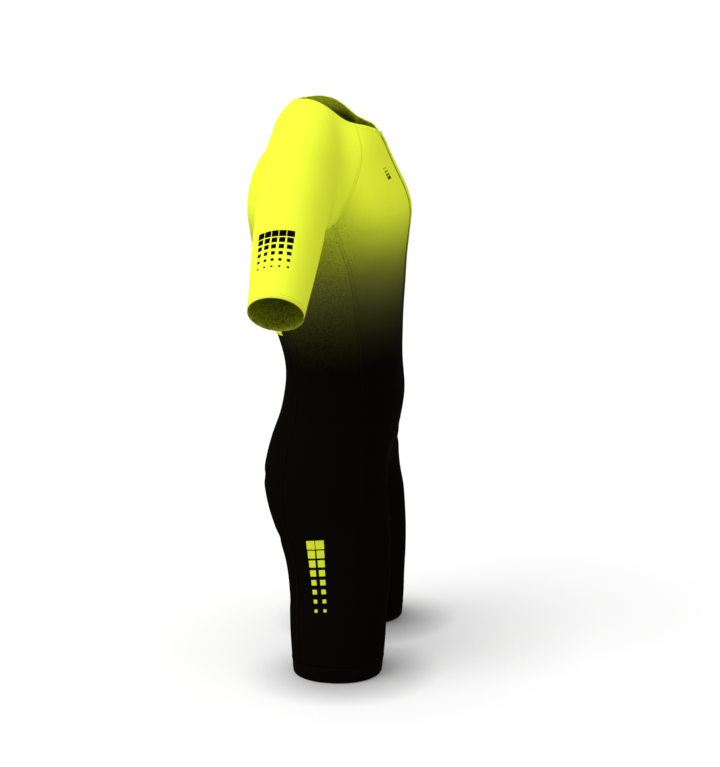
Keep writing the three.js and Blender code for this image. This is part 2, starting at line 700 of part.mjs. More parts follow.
function joinedGeometry(solids) {
  const mesh = solids.reduce((sum, solid) => sum.add(solid)).getMesh();
  const geometry = new THREE.BufferGeometry();
  geometry.setAttribute('position', new THREE.BufferAttribute(mesh.vertProperties, 3));
  geometry.setIndex(new THREE.BufferAttribute(mesh.triVerts, 1));
  geometry.computeVertexNormals();
  return geometry;
}

function roundedPlate(width, length, thickness, corner) {
  const shape = new THREE.Shape();
  const [w, l] = [width / 2, length / 2];
  shape.moveTo(-w + corner, -l);
  shape.absarc(w - corner, -l + corner, corner, -Math.PI / 2, 0);
  shape.absarc(w - corner, l - corner, corner, 0, Math.PI / 2);
  shape.absarc(-w + corner, l - corner, corner, Math.PI / 2, Math.PI);
  shape.absarc(-w + corner, -l + corner, corner, Math.PI, 1.5 * Math.PI);
  return new THREE.ExtrudeGeometry(shape, { depth: thickness, bevelEnabled: false, curveSegments: CORNER_STEPS });
}

function crossBar(radius, length) {
  return new THREE.CylinderGeometry(radius, radius, length, ROUND_SIDES).rotateZ(Math.PI / 2);
}

function sliderSolid() {
  const plate = roundedPlate(SLIDER.width, SLIDER.length, SLIDER.thickness, SLIDER.corner);
  const barZ = SLIDER.thickness + BAIL.barHeight;
  const postHeight = BAIL.barHeight + BAIL.barRadius + SLIDER.thickness / 2;
  const posts = [-1, 1].map((side) => new THREE.BoxGeometry(BAIL.post, BAIL.length, postHeight)
    .translate(side * (BAIL.gap + BAIL.post) / 2, 0, SLIDER.thickness / 2 + postHeight / 2));
  const bar = crossBar(BAIL.barRadius, BAIL.gap + BAIL.post).translate(0, 0, barZ);
  return joinedGeometry([plate, ...posts, bar].map(manifoldOf));
}

// The tab hangs down from its eye, whose middle is the pivot.
function tabSolid() {
  const eye = manifoldOf(crossBar(TAB.eyeRadius, TAB.eyeWidth));
  const blade = roundedPlate(TAB.width, TAB.length - TAB.neck, TAB.thickness, TAB.corner)
    .translate(0, -TAB.neck - (TAB.length - TAB.neck) / 2, -TAB.thickness / 2);
  const neck = new THREE.BoxGeometry(TAB.eyeWidth, 2 * TAB.neck, TAB.thickness).translate(0, -TAB.neck, 0);
  const whole = [blade, neck].map(manifoldOf).reduce((sum, solid) => sum.add(solid), eye);
  return joinedGeometry([whole.subtract(manifoldOf(crossBar(TAB.eyeBore, 2 * TAB.eyeWidth)))]);
}

// A frame on the coil's outer face, a short way below the neckline
function zipFrame() {
  const [top, next] = frontCentre;
  const up = top.clone().sub(next).normalize();
  const out = new THREE.Vector3(1, 0, 0).cross(up);
  const frame = new THREE.Group();
  frame.position.copy(top).addScaledVector(up, -SLIDER.fromNeck).addScaledVector(out, COIL_PROUD + SEAM_GAP);
  frame.quaternion.setFromRotationMatrix(new THREE.Matrix4().makeBasis(new THREE.Vector3(1, 0, 0), up, out));
  return frame;
}

const YELLOW = new THREE.MeshStandardMaterial({ color: 0xd7e032, roughness: 0.85, metalness: 0 });
const FADED = new THREE.MeshStandardMaterial({ color: 0x565a1d, roughness: 0.85, metalness: 0 });
const BLACK = new THREE.MeshStandardMaterial({ color: 0x0b0909, roughness: 0.85, metalness: 0 });
const TAPE = new THREE.MeshStandardMaterial({ color: 0x55590f, roughness: 0.9, metalness: 0 });
const COIL = new THREE.MeshStandardMaterial({ color: 0x24260b, roughness: 0.5, metalness: 0 });
const HARDWARE = new THREE.MeshStandardMaterial({ color: 0xd7e032, roughness: 0.4, metalness: 0 });

const suit = new THREE.Group();
suit.position.z = -HELD_HEIGHT;

function add(name, geometry, material, parent = suit) {
  const mesh = new THREE.Mesh(geometry, material);
  mesh.name = name;
  parent.add(mesh);
  return mesh;
}

const PAIRS = [
  ['front', lined(PANELS.front), FADED],
  ['side', lined(PANELS.side), FADED],
  ['back', lined(PANELS.back), FADED],
  ['sleeve', lined(PANELS.sleeve), YELLOW],
  ['leg_band', lined(bandGrid(), true), BLACK],
];
for (const [name, right, material] of PAIRS) {
  add(`${name}_right`, right, material);
  add(`${name}_left`, mirrored(right), material);
}
add('zip_coil', coilSolid(), COIL);
add('zip_tape', tapeSolid(), TAPE);
add('rear_pocket', pocketSolid(), YELLOW);

const zip = zipFrame();
suit.add(zip);
add('zip_slider', sliderSolid(), HARDWARE, zip);
const pull = add('pull_tab', tabSolid(), HARDWARE, zip);
pull.position.z = SLIDER.thickness + BAIL.barHeight;
pull.rotation.x = THREE.MathUtils.degToRad(TAB_REST_TILT);

export default suit;
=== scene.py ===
import math

import bmesh
import bpy
import numpy as np
from bpy.props import FloatProperty, FloatVectorProperty, IntProperty, PointerProperty
from mathutils import Matrix, Vector
from mathutils.bvhtree import BVHTree
from mathutils.kdtree import KDTree


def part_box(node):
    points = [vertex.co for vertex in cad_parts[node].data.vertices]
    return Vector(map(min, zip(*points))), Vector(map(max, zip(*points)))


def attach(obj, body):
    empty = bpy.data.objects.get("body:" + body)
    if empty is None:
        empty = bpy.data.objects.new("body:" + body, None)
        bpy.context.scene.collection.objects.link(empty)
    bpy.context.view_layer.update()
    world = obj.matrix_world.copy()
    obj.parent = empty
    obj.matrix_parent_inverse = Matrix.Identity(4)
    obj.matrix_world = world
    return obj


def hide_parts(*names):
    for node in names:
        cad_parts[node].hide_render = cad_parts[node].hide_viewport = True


bl_info = {
    "name": "Triathlon suit dresser",
    "version": (1, 0, 0),
    "blender": (4, 5, 0),
    "location": "View3D > Sidebar > Suit",
    "description": "Dresses the packed triathlon suit with printed knit, folds, seams and a zip",
    "category": "Object",
}

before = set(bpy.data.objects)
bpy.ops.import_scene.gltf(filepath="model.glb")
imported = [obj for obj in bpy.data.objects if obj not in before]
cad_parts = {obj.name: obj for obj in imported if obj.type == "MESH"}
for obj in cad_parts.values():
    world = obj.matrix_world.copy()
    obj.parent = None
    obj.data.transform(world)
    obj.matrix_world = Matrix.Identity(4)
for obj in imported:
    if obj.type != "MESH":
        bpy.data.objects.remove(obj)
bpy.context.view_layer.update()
MM = 0.001

# Hem level, read from the frame, and places on the axes of the worn form
HEM_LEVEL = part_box("leg_band_right")[0].z
SHOULDER = Vector((-0.163, 0.027, -0.056))
CUFF = Vector((-0.362, 0.030, -0.257))
KNEE = Vector((-0.142, -0.026, HEM_LEVEL))
GROIN = Vector((-0.095, -0.004, HEM_LEVEL + 0.295))
WAIST = Vector((0.0, -0.010, 0.0))
ARMPIT = Vector((-0.165, -0.008, -0.150))

SUIT = "suit"
OUTSIDE, INSIDE, EDGE = 0, 1, 2
SIDES = ("right", "left")

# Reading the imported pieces: points closer than MERGE are one, and edges sharper than RIM_ANGLE bound a face
# of the cloth. Inside a face six edges meet at each point, until the corner-to-corner ones are taken out.
MERGE = 0.02 * MM
RIM_ANGLE = math.radians(50)
GRID_EDGES = 6
FITTING_TURNS = 3
WALL = 1.0 * MM
THINNEST = 0.6 * MM

# Main creases of the worn suit. A place is a turn in degrees (0 at the front, 90 at the wearer's right) and a
# height above the hem. On a sleeve it is a turn (0 outside, 90 in front) and the way from the shoulder.
# Width, depth and heights are millimetres, and a negative depth is a trough.
CREASES = (
    # part, width, depth, places
    ("body", 8, -1.7, ((169, 478), (165, 452), (158, 426))),
    ("body", 10, -1.0, ((94, 411), (74, 419), (53, 415))),
    ("body", 9, -1.3, ((100, 712), (84, 686), (64, 668))),
    ("body", 8, -0.9, ((86, 718), (68, 711), (50, 717))),
    ("body", 10, -1.3, ((112, 706), (127, 688), (143, 681))),
    ("body", 11, -0.9, ((122, 516), (105, 503), (88, 508))),
    ("body", 10, -1.4, ((150, 498), (168, 490), (186, 495), (203, 487))),
    ("body", 9, -1.1, ((192, 462), (209, 452), (224, 457))),
    ("body", 12, -0.9, ((-24, 466), (4, 457), (27, 463))),
    ("body", 13, 0.9, ((-16, 424), (6, 418), (30, 423))),
    ("body", 12, -1.0, ((20, 395), (38, 376), (58, 368))),
    ("body", 11, -1.1, ((-22, 388), (-41, 372), (-55, 370))),
    ("body", 10, -1.2, ((-101, 709), (-86, 689), (-62, 676))),
    ("body", 8, -0.8, ((-84, 719), (-66, 715), (-47, 725))),
    ("body", 9, -1.2, ((-111, 704), (-131, 684), (-149, 683))),
    ("body", 12, -0.8, ((-118, 509), (-101, 498), (-86, 507))),
    ("body", 9, -1.0, ((-93, 406), (-70, 413), (-56, 405))),
    ("body", 9, -1.4, ((-168, 470), (-162, 446), (-150, 430))),
    ("body", 11, -0.8, ((34, 640), (48, 612), (56, 580))),
    ("body", 12, -0.7, ((-30, 655), (-46, 618), (-52, 590))),
    ("body", 10, 0.8, ((171, 541), (186, 530), (200, 536))),
    ("body", 9, -1.3, ((24, 318), (41, 334), (62, 342))),
    ("body", 9, -1.2, ((-21, 320), (-44, 339), (-60, 351))),
    ("body", 9, -1.2, ((158, 302), (141, 312), (123, 309))),
    ("body", 10, -1.0, ((-156, 306), (-137, 313), (-120, 321))),
    ("leg_right", 9, -1.1, ((-60, 215), (-25, 226), (8, 241))),
    ("leg_right", 10, -0.9, ((196, 206), (172, 216), (150, 214))),
    ("leg_right", 10, -0.9, ((160, 118), (182, 109), (212, 114))),
    ("leg_right", 11, -0.6, ((66, 96), (88, 90), (112, 95))),
    ("leg_right", 9, -0.7, ((-74, 150), (-58, 128), (-49, 104))),
    ("leg_left", 9, -1.0, ((-64, 208), (-30, 223), (5, 233))),
    ("leg_left", 11, -0.9, ((192, 213), (168, 222), (149, 216))),
    ("leg_left", 9, -1.0, ((156, 124), (180, 113), (208, 119))),
    ("leg_left", 10, -0.7, ((60, 104), (84, 95), (103, 99))),
    ("sleeve_right", 8, -1.2, ((146, 88), (118, 106), (92, 132))),
    ("sleeve_right", 9, -1.0, ((-150, 92), (-122, 112), (-98, 127))),
    ("sleeve_right", 10, -0.8, ((176, 132), (142, 150), (110, 158))),
    ("sleeve_right", 9, -0.6, ((40, 18), (66, 32), (82, 58))),
    ("sleeve_right", 12, -0.5, ((-40, 168), (-14, 176), (12, 172))),
    ("sleeve_left", 9, -1.1, ((150, 90), (121, 112), (97, 129))),
    ("sleeve_left", 8, -1.1, ((-148, 86), (-119, 104), (-94, 126))),
    ("sleeve_left", 11, -0.7, ((178, 140), (148, 156), (118, 160))),
    ("sleeve_left", 10, -0.6, ((-36, 22), (-60, 40), (-80, 62))),
)

# Steps between two places of a crease, its reach in widths, and how it rounds off across and at its ends
CREASE_STEPS = 12
CREASE_REACH = 3.0
CREASE_ROLL = 0.55
CREASE_FALL = 0.8
CREASE_TAPER = 0.8

# Pieces whose edges meet, and so share a seam
SEAM_PAIRS = (
    ("front", "side"), ("front", "sleeve"), ("side", "sleeve"), ("back", "side"), ("back", "sleeve"),
    ("front", "back"), ("front", "leg_band"), ("side", "leg_band"), ("back", "leg_band"),
)

# How near two rims are in a seam, how finely they are compared, and how many of its own points a rim skips
SEAM_REACH = 0.9 * MM
RIM_STEP = 0.4 * MM
OWN_POINTS = 8
# Seam bands: spacing of points, depth of the edges in the cloth, and shares of width and rise across
BAND_STEP = 6 * MM
BAND_SINK = 0.15 * MM
BAND_SHAPE = ((-0.42, 0.6), (0.0, 1.0), (0.42, 0.6))
# Crossing threads: how far they reach over the band and how high they lie on it
THREAD_REACH = 0.40
THREAD_LIFT = 0.75
# One stitch from end to end: share of its length, lift and girth in thread radii
STITCH_SHAPE = ((0.0, -0.8, 0.7), (0.25, 0.5, 1.0), (0.75, 0.5, 1.0), (1.0, -0.8, 0.7))
# Rows along the edges: thread as a share of the pitch, shortest run, spacing of points, inset on the pocket
RUNNING_SHARE = 0.72
SHORTEST_EDGE = 45 * MM
EDGE_STEP = 3 * MM
POCKET_INSET = 3 * MM
# Rim points that make the shortest run
FEWEST_POINTS = 4

# Zip teeth: rise, reach to both sides in widths of the coil, and radius in pitches. Then the bed under them
TOOTH_RISE = 0.25 * MM
TOOTH_ENDS = (0.5, 0.28)
TOOTH_RADIUS = 0.30
BED_WIDTH = 1.2
BED_DEPTH = 0.9 * MM
BED_RISE = 0.45 * MM
BED_STEP = 4 * MM
BED_SINK = 0.5 * MM
TAPE_YELLOW = (0.16, 0.18, 0.02)
TOOTH_BLACK = (0.006, 0.006, 0.003)
BED_BLACK = (0.003, 0.003, 0.001)
# Rounded edges of the slider and the pull tab: width, segments and the angle from which an edge is rounded
WORN_EDGE = (0.28 * MM, 3, math.radians(40))

# Roughness and specular level of the finishes
PRINTED_LOOK = (0.82, 0.0015)
DYED_LOOK = (0.82, 0.018)
INSIDE_LOOK = (0.90, 0.020)
THREAD_LOOK = (0.75, 0.010)
TAPE_LOOK = (0.85, 0.05)
TOOTH_LOOK = (0.55, 0.15)
BED_LOOK = (0.70, 0.05)
ENAMEL_LOOK = (0.36, 0.50)
PAPER_LOOK = (0.90, 0.10)
# Knit relief: strength, course pitch in wale pitches and depth. Inside: wale pitch, course pitch and depth
KNIT_STRENGTH = 0.35
COURSE_SHARE = 1.3
KNIT_DEPTH = 0.12 * MM
INSIDE_KNIT = (1.2 * MM, 1.6 * MM, 0.2 * MM)
BAND_WALE = 1.4 * MM
TAPE_WALE = 1.2 * MM
SIDE_WALE_SHARE = 1.5
RIB_SHARE = 0.7
# Drift, fleck and fleck scale of the cloth's tone, outside and inside
CLOTH_TONE = (0.05, 0.05, 620.0)
INSIDE_TONE = (0.08, 3.4, 330.0)
THREAD_TONE = (0.04, 0.15, 620.0)
HARD_TONE = (0.12, 0.1, 620.0)
DRIFT_SCALE = 14.0
# Thread relief: strength, depth and scale. Scuffs: scale, lowest and range of roughness
THREAD_RELIEF = (0.4, 0.15 * MM, 1500.0)
SCUFFS = (380.0, -0.06, 0.14)

# Share of the yellow along the fade, from its foot to its top
FADE_STOPS = (
    (0.16, 0.0072), (0.30, 0.029), (0.42, 0.070), (0.55, 0.152), (0.66, 0.30), (0.78, 0.585), (0.90, 0.90),
)
OLIVE_LEVEL = 0.085
# Speckle of the print: scale, how evenly it spreads over the fade, and how much of it stays in the black
SPECKLE = (430.0, 0.4, 0.012)
# Slow wander of the fade's height: scale and reach in metres
WANDER = (9.0, 0.012)
THREAD_SHADE = 0.94
# Heights where painted light turns the inside paler towards the neck, and where it starts to glow with
# painted light
NECK_PAINTED_LIGHT = (-0.04, 0.03)
NECK_PAINTED_GLOW = (0.0, 0.035)
# Two tones of the floor, the scale of their mottling, its gap to the hems, and the surround as it is seen
FLOOR_TONES = ((0.33, 0.33, 0.33, 1), (0.34, 0.34, 0.34, 1))
FLOOR_MOTTLE = 3.0
FLOOR_GAP = 1.0 * MM
SURROUND = 1.1
# Name, spread in degrees and direction of the two lights
LIGHTS = (("key", 48, (0.42, -0.62, -0.72)), ("overhead", 100, (0.15, 0.25, -1.0)))
CAMERA_PLACE = (-2.85992, -0.44486, 0.1715)
CAMERA_FORWARD = (0.96934, 0.13623, -0.20450)
CAMERA_UP = (0.20251, 0.02846, 0.97887)
SENSOR_WIDTH = 36.0
FARTHEST = 500.0
# Distance, strength and lean of the soft shadows on the floor: a wide one and one close to the hems
FLOOR_SHADOWS = ((0.35, 0.60, (0.30, 0.50, 0.80)), (0.10, 2.3, (0.60, 0.30, 0.75)))
# How far from the middle of the side the speckle has gone, and how near it is strongest
SIDE_SPECKLE = (0.080, 0.030)
SIDE_MIDDLE = 0.010
# Painted shade that darkens the print round the armpit: how much, and the distances where that starts and is
# full
PAINTED_UNDERARM_SHADE = (0.18, 0.095, 0.020)

# Patches of plain blocks, where printed marks sit on the sleeves, thighs and chest.
# Middle, upward direction and facing direction are for the wearer's right side.
PATCHES = {
    "sleeve": {
        "middle": (-0.3375, 0.037, -0.1656), "up": (0.66, 0.02, 0.75), "facing": (-0.75, 0.18, 0.64),
        "cell": 0.0115, "columns": 5.0, "rows": 6.0, "sizes": (0.14, 0.46), "ink": "black",
    },
    "side": {
        "middle": (-0.1894, -0.0017, -0.7115), "up": (0.14, 0.10, 0.98), "facing": (-0.98, 0.17, 0.10),
        "cell": 0.0152, "columns": 2.0, "rows": 8.0, "sizes": (0.16, 0.46), "ink": "yellow",
    },
    "front": {
        "middle": (-0.0682, -0.0957, -0.0755), "up": (0.0, 0.46, 0.88), "facing": (-0.24, -0.85, 0.46),
        "cell": 0.0054, "columns": 3.0, "rows": 4.0, "sizes": (0.46, 0.20), "ink": "black",
    },
}
PATCH_DEPTH = 0.03


class ClothSettings(bpy.types.PropertyGroup):
    """Colours, print and surface of the knit"""

    yellow: FloatVectorProperty(
        name="Yellow", description="Printed yellow of the chest and sleeves", subtype="COLOR", size=3,
        default=(0.74, 0.84, 0.040), min=0.0, max=1.0)
    mark_yellow: FloatVectorProperty(
        name="Thigh marks", description="Yellow of the blocks on the thighs", subtype="COLOR", size=3,
        default=(0.54, 0.60, 0.026), min=0.0, max=1.0)
    olive: FloatVectorProperty(
        name="Olive", description="Colour halfway down the fade", subtype="COLOR", size=3,
        default=(0.066, 0.070, 0.0145), min=0.0, max=1.0)
    black: FloatVectorProperty(
        name="Black", description="Colour of the hips and legs", subtype="COLOR", size=3,
        default=(0.0016, 0.0009, 0.0009), min=0.0, max=1.0)
    fade_top: FloatProperty(
        name="Fade top", description="Height above the hem where the yellow starts to fade", unit="LENGTH",
        default=0.765, min=0.5, max=0.9)
    fade_foot: FloatProperty(
        name="Fade foot", description="Height above the hem where the fade ends in black", unit="LENGTH",
        default=0.494, min=0.3, max=0.7)
    front_lift: FloatProperty(
        name="Front lift", description="How much higher the fade ends on the fronts", unit="LENGTH",
        default=0.008, min=0.0, max=0.05)
    grain: FloatProperty(
        name="Print grain", description="Strength of the speckle in the fade", subtype="FACTOR",
        default=0.45, min=0.0, max=2.0)
    side_grain: FloatProperty(
        name="Side grain", description="Strength of the speckle on the sides of the body", subtype="FACTOR",
        default=2.4, min=0.0, max=4.0)
    # Painted shade on the inside of the body: the share of the print's colour that is kept there
    inside_painted_shade_level: FloatProperty(
        name="Inside shade", description="How strongly the print shows on the inside of the body",
        subtype="FACTOR", default=0.9, min=0.0, max=1.0)
    # Painted shade inside the sleeves and the pocket: the share of the yellow kept deep inside
    sleeve_inside_share: FloatProperty(
        name="Sleeve inside shade", description="How strongly the print shows inside the sleeves",
        subtype="FACTOR", default=0.32, min=0.0, max=1.0)
    # Painted light: the inside near the neck glows by emission
    painted_neck_glow: FloatProperty(
        name="Neck glow", description="Light that comes through the thin knit round the neck",
        subtype="FACTOR", default=0.18, min=0.0, max=1.0)
    wale_pitch: FloatProperty(
        name="Wale pitch", description="Distance between the knit's upright ribs", unit="LENGTH",
        default=0.0009, min=0.0003, max=0.005)
    crease_strength: FloatProperty(
        name="Creases", description="Strength of the worn creases", subtype="FACTOR",
        default=2.2, min=0.0, max=3.0)
    smoothing: IntProperty(
        name="Smoothing", description="Subdivision steps of each cloth piece", default=2, min=1, max=3)


class ThreadSettings(bpy.types.PropertyGroup):
    """Sizes of the seams and of the stitching"""

    seam_width: FloatProperty(
        name="Seam width", description="Width of a flat overlocked seam", unit="LENGTH",
        default=0.0046, min=0.002, max=0.01)
    seam_rise: FloatProperty(
        name="Seam rise", description="How far a flat seam stands out of the cloth", unit="LENGTH",
        default=0.00028, min=0.0001, max=0.001)
    stitch_pitch: FloatProperty(
        name="Stitch pitch", description="Distance between stitches", unit="LENGTH",
        default=0.0028, min=0.001, max=0.01)
    thread: FloatProperty(
        name="Thread", description="Thickness of the sewing thread", unit="LENGTH",
        default=0.0004, min=0.0001, max=0.001)
    hem_inset: FloatProperty(
        name="Hem row", description="Distance of the stitching from an edge", unit="LENGTH",
        default=0.007, min=0.002, max=0.03)


class ZipSettings(bpy.types.PropertyGroup):
    """Sizes of the zip's teeth and the colour of its slider"""

    tooth_pitch: FloatProperty(
        name="Tooth pitch", description="Distance between teeth along the coil", unit="LENGTH",
        default=0.0021, min=0.001, max=0.005)
    tooth_width: FloatProperty(
        name="Tooth width", description="Width of the closed coil", unit="LENGTH",
        default=0.0034, min=0.002, max=0.008)
    metal: FloatVectorProperty(
        name="Slider", description="Enamel of the slider and the pull tab", subtype="COLOR", size=3,
        default=(0.66, 0.74, 0.045), min=0.0, max=1.0)


class StageSettings(bpy.types.PropertyGroup):
    """Floor, light and camera"""

    floor_size: FloatProperty(
        name="Floor", description="Length of the floor's side", unit="LENGTH", default=120.0, min=5.0)
    key_strength: FloatProperty(
        name="Key", description="Strength of the soft key light", default=2.2, min=0.0)
    top_strength: FloatProperty(
        name="Overhead", description="Strength of the soft light from above", default=0.9, min=0.0)
    sky_strength: FloatProperty(
        name="Sky", description="Strength of the white surround", default=0.60, min=0.0)
    floor_glow: FloatProperty(
        name="Floor glow", description="Light that the paper floor gives off itself", default=0.60, min=0.0)
    bounce: FloatProperty(
        name="Bounce", description="Share of the floor's glow that lights the suit", subtype="FACTOR",
        default=0.45, min=0.0, max=1.0)
    focal_length: FloatProperty(
        name="Focal length", description="Camera lens", unit="CAMERA", default=83.08, min=10.0)


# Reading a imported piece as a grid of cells

def fan(vert):
    """The edges round a vertex in order."""
    loop = vert.link_loops[0]
    edges = []
    while not edges or loop.edge is not edges[0]:
        edges.append(loop.edge)
        loop = loop.link_loop_prev.link_loop_radial_next
    return edges


def cut_corners(bm, sharp):
    """The edges that cut the cells of each cloth face corner to corner, found from how edges cross."""
    inner = {v for v in bm.verts
             if len(v.link_edges) == GRID_EDGES and not any(e in sharp for e in v.link_edges)}
    seen = set()
    found = []
    for first in bm.verts:
        if first not in inner or first in seen:
            continue
        families = ([], [], [])
        queue = [(first, first.link_loops[0].edge, 0)]
        seen.add(first)
        while queue:
            vert, entry, family = queue.pop()
            edges = fan(vert)
            start = edges.index(entry)
            for step in range(GRID_EDGES):
                edge = edges[(start + step) % GRID_EDGES]
                kind = (family + step) % len(families)
                families[kind].append(edge)
                other = edge.other_vert(vert)
                if other in inner and other not in seen:
                    seen.add(other)
                    queue.append((other, edge, kind))
        longest = max(families, key=lambda edges: sum(e.calc_length() for e in edges) / len(edges))
        found += dict.fromkeys(longest)
    return found


def cells_of(node):
    """A packed cloth piece as a cage of four-sided cells, its faces marked as outside, inside or edge."""
    bm = bmesh.new()
    bm.from_mesh(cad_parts[node].data)
    crease = bm.edges.layers.float.new("crease_edge")
    bmesh.ops.remove_doubles(bm, verts=bm.verts, dist=MERGE)
    sharp = {e for e in bm.edges if e.calc_face_angle(0) > RIM_ANGLE}
    bmesh.ops.dissolve_edges(bm, edges=cut_corners(bm, sharp), use_verts=False)
    rest = [f for f in bm.faces if len(f.verts) == 3]
    bmesh.ops.join_triangles(bm, faces=rest, angle_face_threshold=RIM_ANGLE,
                             angle_shape_threshold=math.pi, topology_influence=2.0)
    sharp = {e for e in bm.edges if e.calc_face_angle(0) > RIM_ANGLE}
    layers = sorted(spread(bm, sharp), key=lambda faces: -sum(f.calc_area() for f in faces))
    for k, faces in enumerate(layers):
        for face in faces:
            face.material_index = min(k, EDGE)
            face.smooth = True
    for edge in sharp:
        edge[crease] = 1.0
    return bm


def spread(bm, sharp):
    """Groups of faces that join without crossing a sharp edge."""
    left = set(bm.faces)
    groups = []
    for first in bm.faces:
        if first not in left:
            continue
        left.remove(first)
        queue = [first]
        group = []
        while queue:
            face = queue.pop()
            group.append(face)
            for edge in face.edges:
                if edge in sharp:
                    continue
                for near in edge.link_faces:
                    if near in left:
                        left.remove(near)
                        queue.append(near)
        groups.append(group)
    return groups


def coordinates(mesh):
    co = np.empty(len(mesh.vertices) * 3)
    mesh.vertices.foreach_get("co", co)
    return co.reshape(-1, 3)


def smoothed(name, bm, steps):
    """A fine mesh whose smooth surface passes through the cage's own points."""
    cage = bpy.data.meshes.new(name)
    bm.to_mesh(cage)
    bm.free()
    piece = bpy.data.objects.new(name, cage)
    bpy.context.scene.collection.objects.link(piece)
    modifier = piece.modifiers.new("round", "SUBSURF")
    modifier.levels = steps
    modifier.boundary_smooth = "PRESERVE_CORNERS"
    wanted = coordinates(cage)
    for _turn in range(FITTING_TURNS):
        bpy.context.view_layer.update()
        reached = coordinates(piece.evaluated_get(bpy.context.evaluated_depsgraph_get()).data)[:len(wanted)]
        moved = coordinates(cage) + (wanted - reached)
        cage.vertices.foreach_set("co", moved.ravel())
        cage.update()
    bpy.context.view_layer.update()
    shown = piece.evaluated_get(bpy.context.evaluated_depsgraph_get())
    fine = bpy.data.meshes.new_from_object(shown)
    piece.modifiers.clear()
    piece.data = fine
    fine.name = name
    if "crease_edge" in fine.attributes:
        fine.attributes.remove(fine.attributes["crease_edge"])
    bpy.data.meshes.remove(cage)
    return piece


# Creases

def mirror_x(point):
    return Vector((-point.x, point.y, point.z))


def crease_ray(part, turn, way):
    """Start and direction of the line from a part's axis through a place on its surface."""
    angle = math.radians(turn)
    flat = Vector((-math.sin(angle), -math.cos(angle), 0.0))
    if part == "body":
        return Vector((WAIST.x, WAIST.y, HEM_LEVEL + way * MM)), flat
    side = 1 if part.endswith("right") else -1
    if part.startswith("leg"):
        share = way * MM / (GROIN.z - KNEE.z)
        start = KNEE.lerp(GROIN, share)
        start.z = HEM_LEVEL + way * MM
        flat.x *= side
    else:
        down = (CUFF - SHOULDER).normalized()
        start = SHOULDER + down * way * MM
        out = Vector((down.z, 0.0, -down.x))
        front = Vector((0.0, -1.0, 0.0))
        flat = out * math.cos(angle) + front * math.sin(angle)
        flat.x *= side
    if side < 0:
        start = mirror_x(start)
    return start, flat


def crease_lines(tree):
    """Each crease as points on the suit with their outward directions and shares of its length."""
    lines = []
    for part, width, depth, places in CREASES:
        points, outs = [], []
        runs = len(places) - 1
        for k in range(CREASE_STEPS * runs + 1):
            i = min(k // CREASE_STEPS, runs - 1)
            t = k / CREASE_STEPS - i
            turn = places[i][0] * (1 - t) + places[i + 1][0] * t
            way = places[i][1] * (1 - t) + places[i + 1][1] * t
            start, direction = crease_ray(part, turn, way)
            hit = tree.ray_cast(start, direction)
            if hit[0] is not None:
                points.append(hit[0])
                outs.append(direction.lerp(hit[1] * (1 if hit[1].dot(direction) > 0 else -1), 0.5))
        shares = np.linspace(0.0, 1.0, len(points))
        lines.append((width * MM, depth * MM, np.array(points), np.array(outs), shares))
    return lines


def creased(points, lines, strength):
    """The points with every crease pressed in or raised. Both faces of the cloth move together."""
    moved = points.copy()
    for width, depth, line, outs, shares in lines:
        reach = CREASE_REACH * width
        near = np.all((points > line.min(0) - reach) & (points < line.max(0) + reach), axis=1).nonzero()[0]
        if not len(near):
            continue
        gaps = np.linalg.norm(points[near][:, None, :] - line[None, :, :], axis=2)
        closest = gaps.argmin(axis=1)
        across = gaps[np.arange(len(near)), closest] / width
        profile = (1.0 - CREASE_ROLL * across ** 2) * np.exp(-CREASE_FALL * across ** 2)
        taper = np.sin(math.pi * shares[closest]) ** CREASE_TAPER
        moved[near] += (strength * depth * profile * taper)[:, None] * outs[closest]
    return moved


def tuck_inside(mesh):
    """Keeps the inside of the cloth behind its outside where a fold is sharp."""
    bm = bmesh.new()
    bm.from_mesh(mesh)
    outer = bm.copy()
    others = [f for f in outer.faces if f.material_index != OUTSIDE]
    bmesh.ops.delete(outer, geom=others, context="FACES_ONLY")
    tree = BVHTree.FromBMesh(outer)
    outer.free()
    for vert in bm.verts:
        if all(f.material_index == INSIDE for f in vert.link_faces):
            place, normal, _index, _gap = tree.find_nearest(vert.co)
            if (vert.co - place).dot(normal) > -THINNEST:
                vert.co = place - normal * WALL
    bm.to_mesh(mesh)
    bm.free()


def part_axis(name):
    """A point on the axis of the limb that a piece wraps, and the axis direction."""
    mirror = name.endswith("left")
    if name.startswith("sleeve"):
        start, end = SHOULDER, CUFF
    elif name.startswith("leg_band"):
        start, end = GROIN, KNEE
    else:
        return WAIST, Vector((0.0, 0.0, -1.0))
    if mirror:
        start, end = mirror_x(start), mirror_x(end)
    return start, (end - start).normalized()


def lay_knit(piece):
    """A map in metres round and along the limb, which the knit follows."""
    start, down = part_axis(piece.name)
    mesh = piece.data
    co = coordinates(mesh) - np.array(start)
    along = co @ np.array(down)
    middle = Vector(co.mean(0))
    over = (middle - down * middle.dot(down)).normalized()
    if over.length < 0.5 or piece.name.startswith(("sleeve", "leg_band")):
        over = down.cross(Vector((0.0, 1.0, 0.0))).normalized()
    cross = down.cross(over)
    turn = np.arctan2(co @ np.array(cross), co @ np.array(over))
    girth = np.linalg.norm(co - along[:, None] * np.array(down), axis=1).mean()
    corners = np.empty(len(mesh.loops), dtype=np.int64)
    mesh.loops.foreach_get("vertex_index", corners)
    face_of = np.repeat(np.arange(len(mesh.polygons)), [len(p.vertices) for p in mesh.polygons])
    turns = turn[corners]
    first = turns[np.searchsorted(face_of, face_of)]
    turns = turns - 2 * math.pi * np.round((turns - first) / (2 * math.pi))
    layer = mesh.uv_layers.new(name="knit")
    places = np.column_stack([turns * girth, along[corners]])
    layer.data.foreach_set("uv", places.astype(np.float32).ravel())


# Node groups and materials

